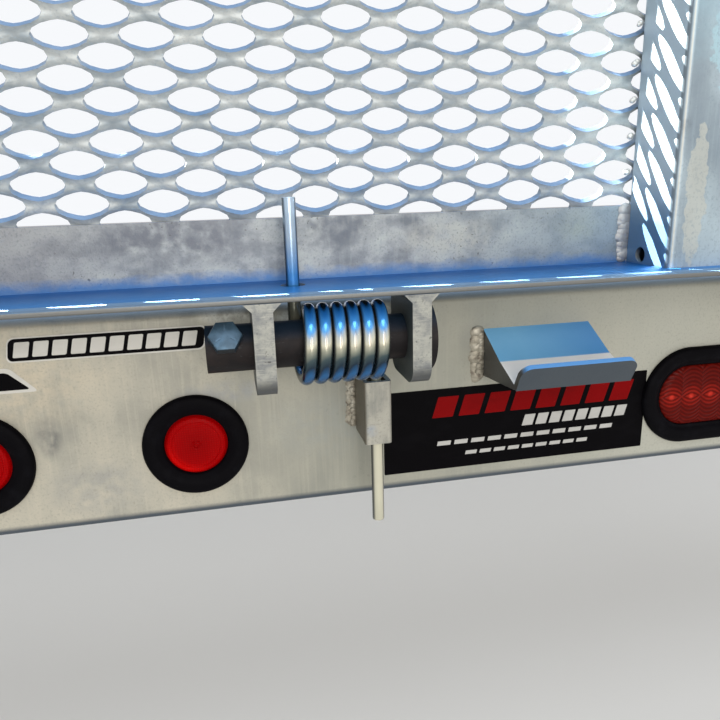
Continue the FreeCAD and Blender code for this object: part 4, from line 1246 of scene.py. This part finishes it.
@dataclass
class Stickers:
    """Blank vinyl films on the sill face. Sizes are in millimetres."""

    places: Places
    film: float = 0.12
    lift: float = 0.05
    gap: float = 0.22  # share of a block's width that stays open beside it

    def block(self, shape: Shape, film: Film, left: float, right: float) -> None:
        """One flat block with rounded corners.

        Args:
            shape: The shape that takes it.
            film: The film that it belongs to.
            left: Its left edge.
            right: Its right edge.
        """
        out = self.places.face - (self.lift + film.layer * self.film) * MM
        corners = ((left, film.low), (right, film.low), (right + film.slant, film.high),
                   (left + film.slant, film.high))
        before = set(shape.faces)
        verts = [shape.verts.new((x * MM, out, z * MM)) for x, z in corners]
        shape.faces.new(verts)
        bmesh.ops.bevel(shape, geom=verts, offset=film.corner * MM, segments=5, profile=0.5,
                        affect="VERTICES", material=-1)
        fresh = [face for face in shape.faces if face not in before]
        made = bmesh.ops.extrude_face_region(shape, geom=fresh)["geom"]
        bmesh.ops.translate(shape, verts=only(made, bmesh.types.BMVert), vec=(0, -self.film * MM, 0))

    def build(self) -> None:
        """The black sign with rows of slanted blocks, the white and black label and a corner of one more."""
        layouts = (
            ("sign_film", PALETTE.sign, Film(280.0, 499.6, 14.4, 80.0, 0, 0.8, 0.0)),
            ("sign_red_blocks", PALETTE.band, Film(318.0, 488.0, 57.0, 73.5, 1, 0.6, 5.0, 8)),
            ("sign_silver_blocks", PALETTE.silver, Film(392.0, 484.0, 43.5, 52.5, 1, 0.4, 2.6, 8)),
            ("sign_thin_blocks", PALETTE.silver, Film(322.0, 474.0, 34.0, 37.5, 1, 0.3, 0.8, 11)),
            ("sign_low_blocks", PALETTE.silver, Film(345.0, 452.0, 24.5, 27.5, 1, 0.3, 0.8, 9)),
            ("label_backing", PALETTE.paper, Film(29.0, 155.0, 124.2, 141.0, 0, 4.0, 2.6)),
            ("label_field", PALETTE.sign, Film(30.0, 154.0, 125.3, 140.1, 1, 3.6, 2.4)),
            ("label_blocks", PALETTE.paper, Film(33.5, 151.5, 127.6, 137.8, 2, 0.9, 2.4, 10)),
            ("corner_backing", PALETTE.paper, Film(-60.0, 46.0, 104.0, 121.0, 0, 3.0, -16.0)),
            ("corner_field", PALETTE.sign, Film(-57.0, 41.0, 106.0, 118.0, 1, 2.0, -13.0)),
        )
        for name, finish, film in layouts:
            shape = bmesh.new()
            step = (film.right - film.left) / film.count
            gap = self.gap * step if film.count > 1 else 0.0
            for index in range(film.count):
                self.block(shape, film, film.left + index * step, film.left + (index + 1) * step - gap)
            publish(shape, name, finish, Body.SILL)


@dataclass
class CadDress:
    """Finishes for the CAD nodes that stay as they are, by how their names start."""

    nodes: dict[str, bpy.types.Object]

    RULES = (
        ("rear_sill", PALETTE.sill), ("gate_bottom_angle", PALETTE.angle), ("upright_", PALETTE.upright),
        ("spring_lugs_", PALETTE.lug), ("gate_hinge_lugs", PALETTE.lug), ("sill_hinge_lugs", PALETTE.lug),
        ("stop_bracket_", PALETTE.bracket), ("spring_anchor_", PALETTE.anchor), ("spring_pin_", PALETTE.bar),
        ("hinge_pins", PALETTE.fastener), ("top_rail", PALETTE.rail), ("middle_rails", PALETTE.rail),
        ("latch_plate_", PALETTE.rail),
    )

    def build(self) -> None:
        """Give each node that isn't replaced its finish."""
        for name, piece in self.nodes.items():
            for finish in (finish for start, finish in self.RULES if name.startswith(start)):
                piece.data.materials.clear()
                piece.data.materials.append(finish.build())
                LOG.info("%s takes %s", name, finish.name)


@dataclass
class Studio:
    """Floor, lights and the camera at the photograph's viewing angle."""

    floor_level: float = -0.335
    floor_size: float = 14.0
    camera_at: Point = (0.1744, -0.4652, 0.2279)
    yaw: float = 11.43
    pitch: float = -15.01
    roll: float = -1.61
    lens: float = 32.0
    sensor: float = 36.0
    aim: Point = (0.25, -0.05, 0.15)
    sun_way: Point = (0.86, -1.0, -1.22)
    sun_distance: float = 4.0
    light: float = 0.62
    backdrop: float = 1.0
    shadow_height: float = 0.169
    card_outlines: tuple[tuple[Corner, ...], ...] = (
        ((-0.9, -0.0925), (0.484, -0.0925), (0.682, -0.322), (0.682, -1.3), (-0.9, -1.3)),
        ((0.47, -0.025), (0.682, -0.271), (0.682, -1.3), (1.4, -1.3), (1.4, -0.025)),
        ((-0.9, -0.088), (0.48, -0.088), (0.47, -0.076), (0.47, -0.025), (1.4, -0.025), (1.4, 1.1),
         (-0.9, 1.1)),
    )

    def floor(self) -> None:
        """A plain pale floor that keeps the object's shadow."""
        shape = bmesh.new()
        bmesh.ops.create_grid(shape, x_segments=1, y_segments=1, size=self.floor_size,
                              matrix=Matrix.Translation((0, 0, self.floor_level)))
        plane = placed("studio_floor", mesh_of(shape, "studio_floor"))
        plane.data.materials.append(PALETTE.floor.build())

    def world(self) -> None:
        """Even light, and white where the camera or a reflection looks past the object."""
        world = bpy.data.worlds.new("studio")
        world.use_nodes = True
        tree = world.node_tree
        tree.nodes.clear()
        rays = node(tree, "ShaderNodeLightPath").outputs
        seen = maths(tree, "MAXIMUM", rays["Is Camera Ray"], rays["Is Glossy Ray"])
        seen = maths(tree, "MAXIMUM", seen, rays["Is Transmission Ray"])
        levels = {"Value": seen, "To Min": self.light, "To Max": self.backdrop}
        strength = node(tree, "ShaderNodeMapRange", levels).outputs["Result"]
        light = node(tree, "ShaderNodeBackground", {"Color": linear("#f7f9fc"), "Strength": strength})
        node(tree, "ShaderNodeOutputWorld", {"Surface": light.outputs["Background"]})
        bpy.context.scene.world = world

    def lamp(self, name: str, place: Point, size: float, power: float, code: str,
             spread: float = 180.0) -> None:
        """Add one area lamp that looks at the aim.

        Args:
            name: Its name.
            place: Where it stands.
            size: Its width.
            power: Its power in watts.
            code: Its colour.
            spread: The angle in degrees that its light keeps to.
        """
        data = bpy.data.lights.new(name, "AREA")
        data.shape = "DISK"
        data.size = size
        data.energy = power
        data.spread = math.radians(spread)
        data.color = linear(code)[:3]
        lamp = placed(name, data)
        lamp.location = place
        lamp.rotation_euler = (Vector(self.aim) - Vector(place)).to_track_quat("-Z", "Y").to_euler()

    @property
    def back_lamp(self) -> Vector:
        """Where the small lamp behind the gate stands."""
        return Vector(self.aim) - Vector(self.sun_way).normalized() * self.sun_distance

    def card(self) -> None:
        """A cut card before the back lamp, seen by no ray but the lamps' own.

        It stands half way to the lamp, and its outlines are where its edges' shadows fall at the height of
        the angle's top. They leave one line along the angle, where the photograph has its dashes, and the
        side of the upright.
        """
        shape = bmesh.new()
        for outline in self.card_outlines:
            spots = [Vector((*corner, self.shadow_height)) for corner in outline]
            shape.faces.new([shape.verts.new(self.back_lamp.lerp(spot, 0.5)) for spot in spots])
        card = placed("cut_card", mesh_of(shape, "cut_card"))
        card.visible_camera = card.visible_diffuse = card.visible_glossy = False

    def lights(self) -> None:
        """A soft box above, a warm fill behind the camera and a small lamp through the mesh."""
        self.lamp("soft_box", (0.3, -0.9, 2.6), 2.2, 42.0, "#eef5ff")
        self.lamp("warm_fill", (0.35, -2.5, 0.75), 1.8, 33.0, "#fff9f2")
        self.lamp("back_lamp", tuple(self.back_lamp), 0.002, 36.0, "#fffdf6", 20.0)

    def camera(self) -> None:
        """The camera that the photograph's solve gave."""
        yaw, pitch, roll = (math.radians(angle) for angle in (self.yaw, self.pitch, self.roll))
        look = Vector((math.sin(yaw) * math.cos(pitch), math.cos(yaw) * math.cos(pitch), math.sin(pitch)))
        right = Vector((math.cos(yaw), -math.sin(yaw), 0.0))
        up = right.cross(look)
        across = right * math.cos(roll) + up * math.sin(roll)
        upward = up * math.cos(roll) - right * math.sin(roll)
        data = bpy.data.cameras.new("camera")
        data.lens = self.lens
        data.sensor_width = self.sensor
        data.clip_start = 0.01
        turn = Matrix((across, upward, -look)).transposed().to_4x4()
        camera = placed("camera", data)
        camera.matrix_world = Matrix.Translation(self.camera_at) @ turn
        bpy.context.scene.camera = camera

    def build(self) -> None:
        """Set the stage."""
        self.floor()
        self.world()
        self.lights()
        self.card()
        self.camera()
        bpy.context.scene.view_settings.view_transform = "Standard"


def main() -> None:
    """Build the looks, piece by piece."""
    logging.basicConfig(level=logging.INFO, format="%(message)s")
    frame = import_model()
    places = Places.read(frame)
    CadDress(frame["nodes"]).build()
    mesh = ExpandedMesh()
    mesh.build()
    spring, oval, bolt = TorsionSpring(places), OvalLamp(places), CrossBolt(places)
    for side in Side:
        spring.build(side)
        oval.build(side.word)
        bolt.build(side)
    lamp = RoundLamp(places)
    for word in ("left", "middle", "right"):
        lamp.build(word)
    WeldShop(places).build(mesh)
    Stickers(places).build()
    Studio().build()


if __name__ == "__main__":
    main()
